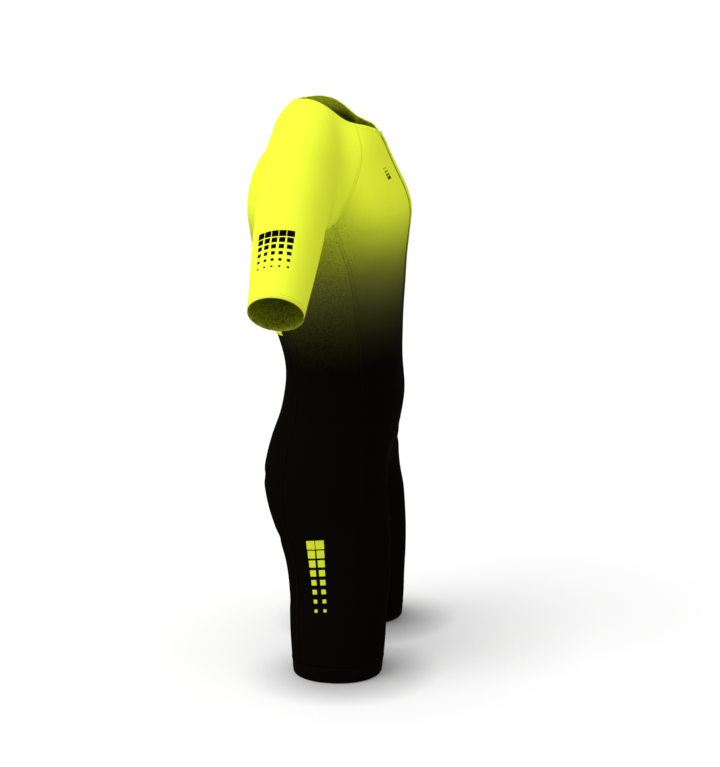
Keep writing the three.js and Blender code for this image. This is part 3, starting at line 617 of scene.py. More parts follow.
class Graph:
    """Short calls for adding and joining the nodes of one tree."""

    def __init__(self, tree):
        self.tree = tree

    def node(self, kind, **values):
        made = self.tree.nodes.new(kind)
        for key, value in values.items():
            setattr(made, key, value)
        return made

    def feed(self, socket, value):
        if isinstance(value, bpy.types.NodeSocket):
            self.tree.links.new(value, socket)
        elif value is not None:
            socket.default_value = value

    def place(self):
        """The shaded place in the shared frame."""
        return self.node("ShaderNodeTexCoord").outputs["Object"]

    def parts(self, vector):
        """X, Y and Z of a vector."""
        made = self.node("ShaderNodeSeparateXYZ")
        self.feed(made.inputs[0], vector)
        return made.outputs

    def color(self, color):
        made = self.node("ShaderNodeRGB")
        made.outputs[0].default_value = (*color, 1)
        return made.outputs[0]

    def math(self, operation, a, b=None, clamp=False):
        made = self.node("ShaderNodeMath", operation=operation, use_clamp=clamp)
        for socket, value in zip(made.inputs, (a, b)):
            self.feed(socket, value)
        return made.outputs[0]

    def mix(self, share, a, b, blend="MIX"):
        made = self.node("ShaderNodeMix", data_type="RGBA", blend_type=blend)
        self.feed(made.inputs["Factor"], share)
        self.feed(made.inputs[6], a)
        self.feed(made.inputs[7], b)
        return made.outputs[2]

    def between(self, value, start, end, low, high):
        """Goes smoothly from low to high while the value goes from start to end."""
        made = self.node("ShaderNodeMapRange", interpolation_type="SMOOTHSTEP")
        for name, given in zip(("Value", "From Min", "From Max", "To Min", "To Max"),
                               (value, start, end, low, high)):
            self.feed(made.inputs[name], given)
        return made.outputs["Result"]

    def noise(self, vector, scale, detail=2.0, roughness=0.5):
        made = self.node("ShaderNodeTexNoise")
        self.feed(made.inputs["Vector"], vector)
        self.feed(made.inputs["Scale"], scale)
        self.feed(made.inputs["Detail"], detail)
        self.feed(made.inputs["Roughness"], roughness)
        return made.outputs["Fac"]


def new_group(name, inputs, outputs):
    """An empty shader group with its sockets, and a graph over it with its two ends."""
    tree = bpy.data.node_groups.new(name, "ShaderNodeTree")
    for socket, kind, default in inputs:
        made = tree.interface.new_socket(socket, in_out="INPUT", socket_type=kind)
        if default is not None:
            made.default_value = default
    for socket, kind in outputs:
        tree.interface.new_socket(socket, in_out="OUTPUT", socket_type=kind)
    graph = Graph(tree)
    return graph, graph.node("NodeGroupInput").outputs, graph.node("NodeGroupOutput").inputs


def new_material(name, look):
    """A material with its graph and its shader, set to a roughness and a specular level."""
    material = bpy.data.materials.new(name)
    material.use_nodes = True
    shader = material.node_tree.nodes["Principled BSDF"]
    shader.inputs["Roughness"].default_value, shader.inputs["Specular IOR Level"].default_value = look
    return material, Graph(material.node_tree), shader


FLOAT, COLOR, VECTOR = "NodeSocketFloat", "NodeSocketColor", "NodeSocketVector"


def knit_group():
    """Height of a warp knit: upright ribs, each with slanting stitches."""
    g, given, out = new_group("knit", [
        ("Map", VECTOR, None), ("Wale pitch", FLOAT, 0.0009), ("Course pitch", FLOAT, 0.0012)],
        [("Height", FLOAT)])
    split = g.parts(given["Map"])
    wale = g.math("FRACT", g.math("DIVIDE", split["X"], given["Wale pitch"]))
    slope = g.math("ABSOLUTE", g.math("SUBTRACT", wale, 0.5))
    rib = g.math("SINE", g.math("MULTIPLY", wale, math.pi))
    course = g.math("ADD", g.math("DIVIDE", split["Y"], given["Course pitch"]), slope)
    stitch = g.math("SINE", g.math("MULTIPLY", course, 2 * math.pi))
    ribs = g.math("MULTIPLY", rib, RIB_SHARE)
    g.feed(out["Height"], g.math("ADD", ribs, g.math("MULTIPLY", stitch, 1.0 - RIB_SHARE)))
    return g.tree


def fade_group(cloth):
    """The print that fades from yellow through olive to black with the height above the hem, with painted
    shade round the armpit.
    """
    g, given, out = new_group("print fade", [
        ("Yellow", COLOR, (*cloth.yellow, 1)), ("Olive", COLOR, (*cloth.olive, 1)),
        ("Black", COLOR, (*cloth.black, 1)), ("Top", FLOAT, cloth.fade_top), ("Foot", FLOAT, cloth.fade_foot),
        ("Grain", FLOAT, cloth.grain), ("Side grain", FLOAT, cloth.side_grain)],
        [("Color", COLOR)])
    place = g.place()
    split = g.parts(place)
    height = g.math("SUBTRACT", split["Z"], HEM_LEVEL)
    scale, evenness, least = SPECKLE
    speck = g.math("SUBTRACT", g.noise(place, scale, 2.0, 0.7), 0.5)
    aside = g.math("ABSOLUTE", g.math("SUBTRACT", split["Y"], SIDE_MIDDLE))
    grain = g.between(aside, *SIDE_SPECKLE, given["Grain"], given["Side grain"])
    wander_scale, wander = WANDER
    drift = g.math("MULTIPLY", g.math("SUBTRACT", g.noise(place, wander_scale), 0.5), wander)
    ragged = g.math("ADD", height, drift)
    span = g.math("SUBTRACT", given["Top"], given["Foot"])
    share = g.math("DIVIDE", g.math("SUBTRACT", ragged, given["Foot"]), span, clamp=True)
    rising = g.node("ShaderNodeValToRGB")
    rising.color_ramp.interpolation = "B_SPLINE"
    stops = rising.color_ramp.elements
    stops[0].position, stops[0].color = 0.0, (0, 0, 0, 1)
    stops[1].position, stops[1].color = 1.0, (1, 1, 1, 1)
    for position, level in FADE_STOPS:
        stop = stops.new(position)
        stop.color = (level, level, level, 1)
    g.feed(rising.inputs["Fac"], share)
    beside = g.node("ShaderNodeVectorMath", operation="DISTANCE")
    mirrored = g.node("ShaderNodeCombineXYZ")
    g.feed(mirrored.inputs["X"], g.math("MULTIPLY", g.math("ABSOLUTE", split["X"]), -1.0))
    g.feed(mirrored.inputs["Y"], split["Y"])
    g.feed(mirrored.inputs["Z"], split["Z"])
    g.feed(beside.inputs[0], mirrored.outputs[0])
    g.feed(beside.inputs[1], ARMPIT)
    # Painted shade: the print is darkened near the armpit, where the sleeve shades the body
    painted_underarm_shade, start, full = PAINTED_UNDERARM_SHADE
    level = g.math("MULTIPLY", rising.outputs["Color"],
                   g.between(beside.outputs["Value"], start, full, 1.0, 1.0 - painted_underarm_shade))
    from_middle = g.math("ABSOLUTE", g.math("SUBTRACT", g.math("MULTIPLY", share, 2.0), 1.0))
    middle = g.math("SUBTRACT", 1.0, from_middle)
    speckle = g.math("MULTIPLY", g.math("MULTIPLY", speck, grain), g.math("POWER", middle, evenness))
    even = g.math("ADD", level, g.math("MULTIPLY", speckle, g.math("ADD", level, least)), clamp=True)
    low = g.mix(g.math("MULTIPLY", even, 1 / OLIVE_LEVEL, clamp=True), given["Black"], given["Olive"])
    high_share = g.math("DIVIDE", g.math("SUBTRACT", even, OLIVE_LEVEL), 1 - OLIVE_LEVEL, clamp=True)
    g.feed(out["Color"], g.mix(high_share, low, given["Yellow"]))
    return g.tree


def blocks_group():
    """A patch of plain square blocks that shrink row by row: a mask that is 1 inside the blocks."""
    g, given, out = new_group("block patch", [
        ("Place", VECTOR, None), ("Middle", VECTOR, None), ("Across", VECTOR, None), ("Up", VECTOR, None),
        ("Cell", FLOAT, 0.01), ("Columns", FLOAT, 5.0), ("Rows", FLOAT, 5.0), ("Largest", FLOAT, 0.45),
        ("Smallest", FLOAT, 0.12)],
        [("Mask", FLOAT)])
    rel = g.node("ShaderNodeVectorMath", operation="SUBTRACT")
    g.feed(rel.inputs[0], given["Place"])
    g.feed(rel.inputs[1], given["Middle"])

    def cells(direction, count):
        made = g.node("ShaderNodeVectorMath", operation="DOT_PRODUCT")
        g.feed(made.inputs[0], rel.outputs[0])
        g.feed(made.inputs[1], direction)
        shifted = g.math("ADD", g.math("DIVIDE", made.outputs["Value"], given["Cell"]),
                         g.math("MULTIPLY", count, 0.5))
        within = g.math("MULTIPLY", g.math("GREATER_THAN", shifted, 0.0), g.math("LESS_THAN", shifted, count))
        from_middle = g.math("ABSOLUTE", g.math("SUBTRACT", g.math("FRACT", shifted), 0.5))
        return g.math("FLOOR", shifted), within, from_middle

    _column, in_columns, aside = cells(given["Across"], given["Columns"])
    row, in_rows, above = cells(given["Up"], given["Rows"])
    share = g.math("DIVIDE", row, g.math("SUBTRACT", given["Rows"], 1.0))
    growth = g.math("MULTIPLY", share, g.math("SUBTRACT", given["Smallest"], given["Largest"]))
    half = g.math("ADD", given["Largest"], growth)
    block = g.math("LESS_THAN", g.math("MAXIMUM", aside, above), half)
    g.feed(out["Mask"], g.math("MULTIPLY", block, g.math("MULTIPLY", in_columns, in_rows)))
    return g.tree


def tone_group():
    """Soft tonal drift and fine lint over cloth."""
    g, given, out = new_group("cloth tone", [
        ("Color", COLOR, (1, 1, 1, 1)), ("Drift", FLOAT, CLOTH_TONE[0]), ("Fleck", FLOAT, CLOTH_TONE[1]),
        ("Fleck scale", FLOAT, CLOTH_TONE[2])], [("Color", COLOR)])
    place = g.place()
    drift = g.math("MULTIPLY", g.math("SUBTRACT", g.noise(place, DRIFT_SCALE), 0.5), given["Drift"])
    lint = g.noise(place, given["Fleck scale"], 2.0, 0.6)
    fleck = g.math("MULTIPLY", g.math("SUBTRACT", lint, 0.5), given["Fleck"])
    level = g.math("MAXIMUM", g.math("ADD", 1.0, g.math("ADD", drift, fleck)), 0.0)
    grey = g.node("ShaderNodeCombineColor")
    for k in range(3):
        g.feed(grey.inputs[k], level)
    g.feed(out["Color"], g.mix(1.0, given["Color"], grey.outputs[0], "MULTIPLY"))
    return g.tree


class Cloth:
    """Makes and keeps the suit's materials."""

    def __init__(self, scene):
        self.settings = scene.suit_cloth
        self.knit = knit_group()
        self.fade = fade_group(self.settings)
        self.blocks = blocks_group()
        self.tone = tone_group()
        self.made = {}

    def start(self, name, look):
        material, graph, shader = new_material(name, look)
        self.made[name] = material
        return material, graph, shader

    def place(self, graph, tree, **values):
        made = graph.node("ShaderNodeGroup", node_tree=tree)
        for key, value in values.items():
            graph.feed(made.inputs[key.replace("_", " ")], value)
        return made

    def knitted(self, graph, shader, wale, course, depth):
        knit_map = graph.node("ShaderNodeUVMap", uv_map="knit").outputs["UV"]
        knit = self.place(graph, self.knit, Map=knit_map, Wale_pitch=wale, Course_pitch=course)
        self.relief(graph, shader, knit.outputs["Height"], KNIT_STRENGTH, depth)

    def relief(self, graph, shader, height, strength, depth):
        """Shades a height as fine relief."""
        bump = graph.node("ShaderNodeBump")
        bump.inputs["Strength"].default_value = strength
        bump.inputs["Distance"].default_value = depth
        graph.feed(bump.inputs["Height"], height)
        graph.feed(shader.inputs["Normal"], bump.outputs["Normal"])

    def finish(self, graph, shader, color, tone=CLOTH_TONE):
        drift, fleck, fleck_scale = tone
        toned = self.place(graph, self.tone, Color=color, Drift=drift, Fleck=fleck, Fleck_scale=fleck_scale)
        graph.feed(shader.inputs["Base Color"], toned.outputs["Color"])
        return toned.outputs["Color"]

    def unprinted(self, graph, shader, color):
        """The speckled unprinted side, which glows with painted light near the neck."""
        shown = self.finish(graph, shader, color, INSIDE_TONE)
        painted_neck_light = graph.between(graph.parts(graph.place())["Z"], *NECK_PAINTED_GLOW, 0.0, 1.0)
        # Painted light: the inside glows towards the neck
        graph.feed(shader.inputs["Emission Color"], graph.mix(painted_neck_light, (0, 0, 0, 1), shown))
        shader.inputs["Emission Strength"].default_value = self.settings.painted_neck_glow
        self.knitted(graph, shader, *INSIDE_KNIT)

    def patched(self, graph, color, ink, patch):
        """Prints one patch of blocks over a colour."""
        place = graph.place()
        mask = self.place(graph, self.blocks, Place=place, Middle=patch["middle"], Across=patch["across"],
                          Up=patch["up"], Cell=patch["cell"], Columns=patch["columns"], Rows=patch["rows"],
                          Largest=patch["sizes"][0], Smallest=patch["sizes"][1]).outputs["Mask"]
        outside = graph.node("ShaderNodeVectorMath", operation="DOT_PRODUCT")
        graph.feed(outside.inputs[0], place)
        graph.feed(outside.inputs[1], patch["facing"])
        shown = graph.math("GREATER_THAN", outside.outputs["Value"], patch["beyond"])
        return graph.mix(graph.math("MULTIPLY", mask, shown), color, ink)

    def printed(self, name, lift, wale, patches=()):
        """Printed body knit with its fade, and any patches of blocks."""
        if name in self.made:
            return self.made[name]
        cloth = self.settings
        material, graph, shader = self.start(name, PRINTED_LOOK)
        fade = self.place(graph, self.fade, Foot=cloth.fade_foot + lift)
        color = fade.outputs["Color"]
        for patch in patches:
            ink = (*cloth.mark_yellow, 1) if patch["ink"] == "yellow" else (*cloth.black, 1)
            color = self.patched(graph, color, ink, patch)
        self.finish(graph, shader, color)
        self.knitted(graph, shader, wale, wale * COURSE_SHARE, KNIT_DEPTH)
        return material

    def plain(self, name, color, look=DYED_LOOK, wale=None, patches=()):
        """Dyed knit of one colour."""
        if name in self.made:
            return self.made[name]
        material, graph, shader = self.start(name, look)
        wale = wale or self.settings.wale_pitch
        shown = graph.color(color)
        for patch in patches:
            shown = self.patched(graph, shown, (*self.settings.black, 1), patch)
        self.finish(graph, shader, shown)
        self.knitted(graph, shader, wale, wale * COURSE_SHARE, KNIT_DEPTH)
        return material

    def inside(self, lift):
        """The unprinted side, where the print shows through, darkened by painted shade."""
        name = "knit inside lifted" if lift else "knit inside"
        if name in self.made:
            return self.made[name]
        cloth = self.settings
        material, graph, shader = self.start(name, INSIDE_LOOK)
        fade = self.place(graph, self.fade, Foot=cloth.fade_foot + lift)
        # Painted shade: the print's colour is darkened on the inside
        share = cloth.inside_painted_shade_level
        print_under_painted_shade = graph.mix(1.0, fade.outputs["Color"], (share, share, share, 1), "MULTIPLY")
        self.unprinted(graph, shader, print_under_painted_shade)
        return material

    def inside_yellow(self):
        """The unprinted side of the sleeves and the pocket, darkened by painted shade that gives way to
        painted light near the neck.
        """
        name = "yellow knit inside"
        if name in self.made:
            return self.made[name]
        # Painted shade deep inside the sleeves and the pocket, lifted to full yellow near the neck by painted
        # light
        share = self.settings.sleeve_inside_share
        material, graph, shader = self.start(name, INSIDE_LOOK)
        painted_neck_light = graph.between(graph.parts(graph.place())["Z"], *NECK_PAINTED_LIGHT, 0.0, 1.0)
        deep_painted_shade = (*(share * c for c in self.settings.yellow), 1)
        self.unprinted(graph, shader, graph.mix(painted_neck_light, deep_painted_shade, (*self.settings.yellow, 1)))
        return material

    def seam_look(self, group, where):
        """Dyed thread on the outside, and the unprinted side's look inside."""
        if where == "inner":
            return self.inside_yellow() if group == "sleeve" else self.inside(0.0)
        return self.thread(group)

    def thread(self, group):
        """Sewing thread dyed to match the cloth under it."""
        name = f"{group} thread"
        if name in self.made:
            return self.made[name]
        material, graph, shader = self.start(name, THREAD_LOOK)
        if group == "body":
            color = self.place(graph, self.fade).outputs["Color"]
        else:
            color = graph.color(self.settings.yellow)
        shade = (THREAD_SHADE, THREAD_SHADE, THREAD_SHADE, 1)
        self.finish(graph, shader, graph.mix(1.0, color, shade, "MULTIPLY"), THREAD_TONE)
        strength, depth, scale = THREAD_RELIEF
        self.relief(graph, shader, graph.noise(graph.place(), scale, 2.0, 0.6), strength, depth)
        return material

    def hard(self, name, color, look):
        """Moulded coil or enamelled metal, a little duller where it is handled."""
        if name in self.made:
            return self.made[name]
        material, graph, shader = self.start(name, look)
        self.finish(graph, shader, graph.color(color), HARD_TONE)
        scale, least, span = SCUFFS
        worn = graph.math("MULTIPLY", graph.noise(graph.place(), scale, 4.0), span)
        graph.feed(shader.inputs["Roughness"], graph.math("ADD", look[0] + least, worn))
        return material


def patches_for(piece):
    """The patch of a piece, mirrored for the left side."""
    kind, side = piece.split("_")
    turned = Vector((1 if side == "right" else -1, 1, 1))
    patch = dict(PATCHES[kind])
    for key in ("middle", "up", "facing"):
        patch[key] = Vector(patch[key]) * turned
    patch["facing"].normalize()
    patch["across"] = patch["up"].cross(patch["facing"]).normalized()
    patch["up"] = patch["facing"].cross(patch["across"]).normalized()
    patch["beyond"] = patch["middle"].dot(patch["facing"]) - PATCH_DEPTH
    return [patch]


# Built pieces and what later steps need of them

class Workshop:
    """What the steps share: materials, crease lines and the finished cloth."""

    cloth = None
    lines = None
    pieces = {}

    @classmethod
    def open(cls, scene):
        if cls.cloth is None:
            cls.cloth = Cloth(scene)
            tree = bmesh.new()
            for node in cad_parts.values():
                tree.from_mesh(node.data)
            cls.lines = crease_lines(BVHTree.FromBMesh(tree))
            tree.free()
        return cls


def cloth_piece(scene, node, materials):
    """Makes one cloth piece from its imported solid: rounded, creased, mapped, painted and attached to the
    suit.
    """
    shop = Workshop.open(scene)
    piece = smoothed(node + "_cloth", cells_of(node), scene.suit_cloth.smoothing)
    moved = creased(coordinates(piece.data), shop.lines, scene.suit_cloth.crease_strength)
    piece.data.vertices.foreach_set("co", moved.ravel())
    tuck_inside(piece.data)
    piece.data.update()
    lay_knit(piece)
    for material in materials:
        piece.data.materials.append(material)
    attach(piece, SUIT)
    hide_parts(node)
    shop.pieces[node] = piece
    return piece


def joined_mesh(name, verts, faces, material, smooth=True):
    """A new object from lists of points and faces."""
    mesh = bpy.data.meshes.new(name)
    mesh.from_pydata(verts, [], faces)
    mesh.polygons.foreach_set("use_smooth", [smooth] * len(mesh.polygons))
    mesh.materials.append(material)
    mesh.update()
    made = bpy.data.objects.new(name, mesh)
    bpy.context.scene.collection.objects.link(made)
    return made


# Seams: lines where the rims of two pieces run side by side

def rims(piece, face_kind):
    """The closed rims of one face of the cloth, each a list of (point, outward normal)."""
    bm = bmesh.new()
    bm.from_mesh(piece.data)
    ahead = {}
    for edge in bm.edges:
        faces = {f.material_index: f for f in edge.link_faces}
        if set(faces) == {face_kind, EDGE}:
            face = faces[face_kind]
            loop = next(l for l in face.loops if l.edge is edge)
            ahead[loop.vert] = (loop.link_loop_next.vert, face.normal.copy())
    found = []
    while ahead:
        start = next(iter(ahead))
        vert = start
        rim = []
        while vert in ahead:
            following, normal = ahead.pop(vert)
            rim.append((vert.co.copy(), normal))
            vert = following
        found.append(rim)
    bm.free()
    return found


def runs_of(rim, wanted):
    """Stretches of a closed rim whose points are all wanted, longest first."""
    count = len(rim)
    if all(wanted):
        return [rim + rim[:1]]
    start = next(k for k in range(count) if not wanted[k])
    stretches, run = [], []
    for k in range(start, start + count + 1):
        if wanted[k % count]:
            run.append(rim[k % count])
        elif run:
            stretches.append(run)
            run = []
    return sorted((r for r in stretches if len(r) >= FEWEST_POINTS), key=lambda r: -len(r))


def beside(rim, others, reach, skip=0):
    """For each rim point, the closest place on the other rims within reach, or None."""
    places = []
    for other in others:
        for k, (start, _normal) in enumerate(other):
            end = other[(k + 1) % len(other)][0]
            parts = max(int((end - start).length / RIM_STEP), 1)
            places += [(start.lerp(end, j / parts), k) for j in range(parts)]
    tree = KDTree(len(places))
    for i, (place, _k) in enumerate(places):
        tree.insert(place, i)
    tree.balance()
    found = []
    for i, (point, _normal) in enumerate(rim):
        near = tree.find_range(point, reach)
        if skip:
            steps = [abs(places[n[1]][1] - i) for n in near]
            near = [n for n, step in zip(near, steps) if min(step, len(rim) - step) > skip]
        found.append(min(near, key=lambda n: n[2])[0] if near else None)
    return found


def seam_lines(a, b, face_kind):
    """Middle lines of the seams between two pieces, or of a piece's seam with itself."""
    lines = []
    rims_a = rims(a, face_kind)
    own = a is b
    rims_b = rims_a if own else rims(b, face_kind)
    for rim in rims_a:
        partners = beside(rim, rims_b, SEAM_REACH, skip=OWN_POINTS if own else 0)
        pairs = [(p, n, q) for (p, n), q in zip(rim, partners)]
        for run in runs_of(pairs, [q is not None for q in partners]):
            lines.append([((p + q) / 2, n) for p, n, q in run])
            if own:
                break
    return lines


def evenly(line, pitch):
    """A line of (point, normal) read off at an even pitch, with its running direction."""
    points = np.array([p for p, _n in line])
    normals = np.array([n for _p, n in line])
    steps = np.linalg.norm(np.diff(points, axis=0), axis=1)
    runs = np.concatenate([[0.0], np.cumsum(steps)])
    count = max(int(runs[-1] / pitch), 2)
    at = np.linspace(0.0, runs[-1], count + 1)
    places = np.column_stack([np.interp(at, runs, points[:, k]) for k in range(3)])
    outs = np.column_stack([np.interp(at, runs, normals[:, k]) for k in range(3)])
    outs /= np.linalg.norm(outs, axis=1)[:, None]
    ways = np.gradient(places, axis=0)
    ways /= np.linalg.norm(ways, axis=1)[:, None]
    return places, outs, ways


def band_mesh(lines, width, rise, pitch, sink):
    """Points and faces of low rounded bands along lines, resting on the cloth."""
    verts, faces = [], []
    shape = [(-0.5, -sink), *((u, h * rise) for u, h in BAND_SHAPE), (0.5, -sink)]
    for line in lines:
        places, outs, ways = evenly(line, pitch)
        sides = np.cross(outs, ways)
        first = len(verts)
        for p, n, s in zip(places, outs, sides):
            verts += [tuple(p + s * width * u + n * h) for u, h in shape]
        across = len(shape)
        for j in range(len(places) - 1):
            for i in range(across):
                a = first + j * across + i
                b = first + j * across + (i + 1) % across
                faces.append((a, b, b + across, a + across))
        last = first + (len(places) - 1) * across
        faces.append(tuple(first + i for i in reversed(range(across))))
        faces.append(tuple(last + i for i in range(across)))
    return verts, faces


def stitch_bar(start, end, out, radius):
    """Points and faces of one stitch: a short thread that arches a little and dips at both ends."""
    way = (end - start) / np.linalg.norm(end - start)
    side = np.cross(out, way) * radius
    up = out * radius
    rings = []
    for share, lift, girth in STITCH_SHAPE:
        middle = start + (end - start) * share + up * lift
        rings.append([middle + side * girth, middle + up * girth, middle - side * girth, middle - up * girth])
    faces = [(4 * j + i, 4 * j + (i + 1) % 4, 4 * j + 4 + (i + 1) % 4, 4 * j + 4 + i)
             for j in range(3) for i in range(4)]
    faces += [(3, 2, 1, 0), (12, 13, 14, 15)]
    return [p for ring in rings for p in ring], faces


def stitches(bars, radius):
    verts, faces = [], []
    for start, end, out in bars:
        points, cells = stitch_bar(start, end, out, radius)
        first = len(verts)
        verts += [tuple(p) for p in points]
        faces += [tuple(first + i for i in cell) for cell in cells]
    return verts, faces


def lockstitch_bars(lines, width, rise, pitch):
    """Slanting threads that cross a flat seam to and fro."""
    bars = []
    for line in lines:
        places, outs, ways = evenly(line, pitch)
        sides = np.cross(outs, ways)
        reach = THREAD_REACH * width
        lift = THREAD_LIFT * rise
        for k in range(len(places) - 1):
            lean = 1 if k % 2 else -1
            start = places[k] + sides[k] * reach * lean + outs[k] * lift
            end = places[k + 1] - sides[k + 1] * reach * lean + outs[k + 1] * lift
            bars.append((start, end, outs[k]))
    return bars


def running_bars(lines, pitch):
    """Straight stitches with short gaps along lines."""
    bars = []
    for line in lines:
        places, outs, _ways = evenly(line, pitch)
        for k in range(len(places) - 1):
            bars.append((places[k], places[k] + (places[k + 1] - places[k]) * RUNNING_SHARE, outs[k]))
    return bars


def shifted_in(piece, line, inset):
    """A line on the outside of a piece, moved in from the edge that it follows."""
    bm = bmesh.new()
    bm.from_mesh(piece.data)
    bmesh.ops.delete(bm, geom=[f for f in bm.faces if f.material_index != OUTSIDE], context="FACES_ONLY")
    tree = BVHTree.FromBMesh(bm)
    bm.free()
    places, outs, ways = evenly(line, EDGE_STEP)
    sides = np.cross(outs, ways)
    moved = []
    for p, s in zip(places, sides):
        hit = tree.find_nearest(Vector(p + s * inset))
        moved.append((hit[0], hit[1]))
    return moved


# Operators: one for each piece or group of like pieces

class SUIT_OT_body_panels(bpy.types.Operator):
    """Makes the printed fronts, sides and backs"""

    bl_idname = "suit.body_panels"
    bl_label = "Body panels"

    def execute(self, context):
        cloth = Workshop.open(context.scene).cloth
        settings = context.scene.suit_cloth
        lift, wale = settings.front_lift, settings.wale_pitch
        kinds = (("front", lift, wale), ("side", 0.0, SIDE_WALE_SHARE * wale), ("back", lift, wale))
        for side in SIDES:
            for kind, raised, pitch in kinds:
                node = f"{kind}_{side}"
                patches = patches_for(node) if kind != "back" else []
                outer = cloth.printed(f"printed knit {kind} {side}" if patches else "printed knit back",
                                      raised, pitch, patches)
                inner = cloth.inside(raised)
                # The cut edges take the inside's look, with its painted shade
                cloth_piece(context.scene, node, (outer, inner, inner))
        return {"FINISHED"}


class SUIT_OT_sleeves(bpy.types.Operator):
    """Makes the two raglan sleeves"""

    bl_idname = "suit.sleeves"
    bl_label = "Sleeves"

    def execute(self, context):
        cloth = Workshop.open(context.scene).cloth
        yellow = context.scene.suit_cloth.yellow
        for side in SIDES:
            node = f"sleeve_{side}"
            outer = cloth.plain(f"yellow knit sleeve {side}", yellow, patches=patches_for(node))
            inner = cloth.inside_yellow()
            # The cut edges take the inside's look, with its painted shade
            cloth_piece(context.scene, node, (outer, inner, inner))
        return {"FINISHED"}


class SUIT_OT_leg_bands(bpy.types.Operator):
    """Makes the black elastic bands at the hems"""

    bl_idname = "suit.leg_bands"
    bl_label = "Leg bands"

    def execute(self, context):
        cloth = Workshop.open(context.scene).cloth
        black = context.scene.suit_cloth.black
        outer = cloth.plain("black band knit", black, wale=BAND_WALE)
        inner = cloth.plain("black band inside", black, INSIDE_LOOK)
        for side in SIDES:
            looks = (outer, inner, outer)
            cloth_piece(context.scene, f"leg_band_{side}", looks)
        return {"FINISHED"}


class SUIT_OT_rear_pocket(bpy.types.Operator):
    """Makes the yellow pocket on the lower back"""

    bl_idname = "suit.rear_pocket"
    bl_label = "Rear pocket"

    def execute(self, context):
        cloth = Workshop.open(context.scene).cloth
        yellow = context.scene.suit_cloth.yellow
        outer = cloth.plain("yellow knit pocket", yellow)
        cloth_piece(context.scene, "rear_pocket",
                    (outer, cloth.inside_yellow(), outer))
        return {"FINISHED"}


class SUIT_OT_zip(bpy.types.Operator):
    """Makes the zip tape, the coil's bed and its teeth"""

    bl_idname = "suit.zip"
    bl_label = "Zip"

    def execute(self, context):
        shop = Workshop.open(context.scene)
        sizes = context.scene.suit_zip
        tape = shop.cloth.plain("zip tape weave", TAPE_YELLOW, TAPE_LOOK, TAPE_WALE)
        cloth_piece(context.scene, "zip_tape", (tape, tape, tape))
        moulded = shop.cloth.hard("moulded coil", TOOTH_BLACK, TOOTH_LOOK)
        gap = shop.cloth.hard("coil bed", BED_BLACK, BED_LOOK)
        line = coil_line(shop)
        places, outs, ways = evenly(line, sizes.tooth_pitch)
        sides = np.cross(outs, ways)
        left, right = (share * sizes.tooth_width for share in TOOTH_ENDS)
        bars = []
        for k, (p, n, s) in enumerate(zip(places, outs, sides)):
            lean = 1 if k % 2 else -1
            crown = p + n * TOOTH_RISE
            bars.append((crown - s * lean * left, crown + s * lean * right, n))
        verts, faces = stitches(bars, TOOTH_RADIUS * sizes.tooth_pitch)
        teeth = joined_mesh("zip_teeth", verts, faces, moulded)
        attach(teeth, SUIT)
        sunk = [(Vector(p) - Vector(n) * BED_DEPTH, Vector(n)) for p, n in zip(places, outs)]
        verts, faces = band_mesh([sunk], BED_WIDTH * sizes.tooth_width, BED_RISE, BED_STEP, BED_SINK)
        bed = joined_mesh("zip_coil_bed", verts, faces, gap)
        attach(bed, SUIT)
        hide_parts("zip_coil")
        return {"FINISHED"}


def coil_line(shop):
    """The middle of the coil's outer face, from the neckline down, with the cloth's creases."""
    bm = bmesh.new()
    bm.from_mesh(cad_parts["zip_coil"].data)
    bmesh.ops.remove_doubles(bm, verts=bm.verts, dist=MERGE)
    outer = sorted((v.co.copy() for v in bm.verts if v.co.x < 0), key=lambda p: -p.z)
    line = [min(upper, lower, key=lambda p: p.y) for upper, lower in zip(outer[::2], outer[1::2])]
    bm.free()
    points = np.array([(0.0, p.y, p.z) for p in line])
    moved = creased(points, shop.lines, bpy.context.scene.suit_cloth.crease_strength)
    ways = np.gradient(points, axis=0)
    normals = [Vector((0.0, w[2], -w[1])).normalized() for w in ways]
    return [(Vector(p), n if n.y < 0 else -n) for p, n in zip(moved, normals)]


class SUIT_OT_zip_hardware(bpy.types.Operator):
    """Rounds and enamels the slider and its pull tab"""

    bl_idname = "suit.zip_hardware"
    bl_label = "Slider and pull tab"

    def execute(self, context):
        cloth = Workshop.open(context.scene).cloth
        enamel = cloth.hard("slider enamel", context.scene.suit_zip.metal, ENAMEL_LOOK)
        for node in ("zip_slider", "pull_tab"):
            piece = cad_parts[node]
            piece.data.materials.clear()
            piece.data.materials.append(enamel)
            weld = piece.modifiers.new("weld", "WELD")
            weld.merge_threshold = MERGE / 2
            bevel = piece.modifiers.new("worn edges", "BEVEL")
            bevel.limit_method = "ANGLE"
            bevel.width, bevel.segments, bevel.angle_limit = WORN_EDGE
            piece.modifiers.new("shading", "WEIGHTED_NORMAL")
        return {"FINISHED"}


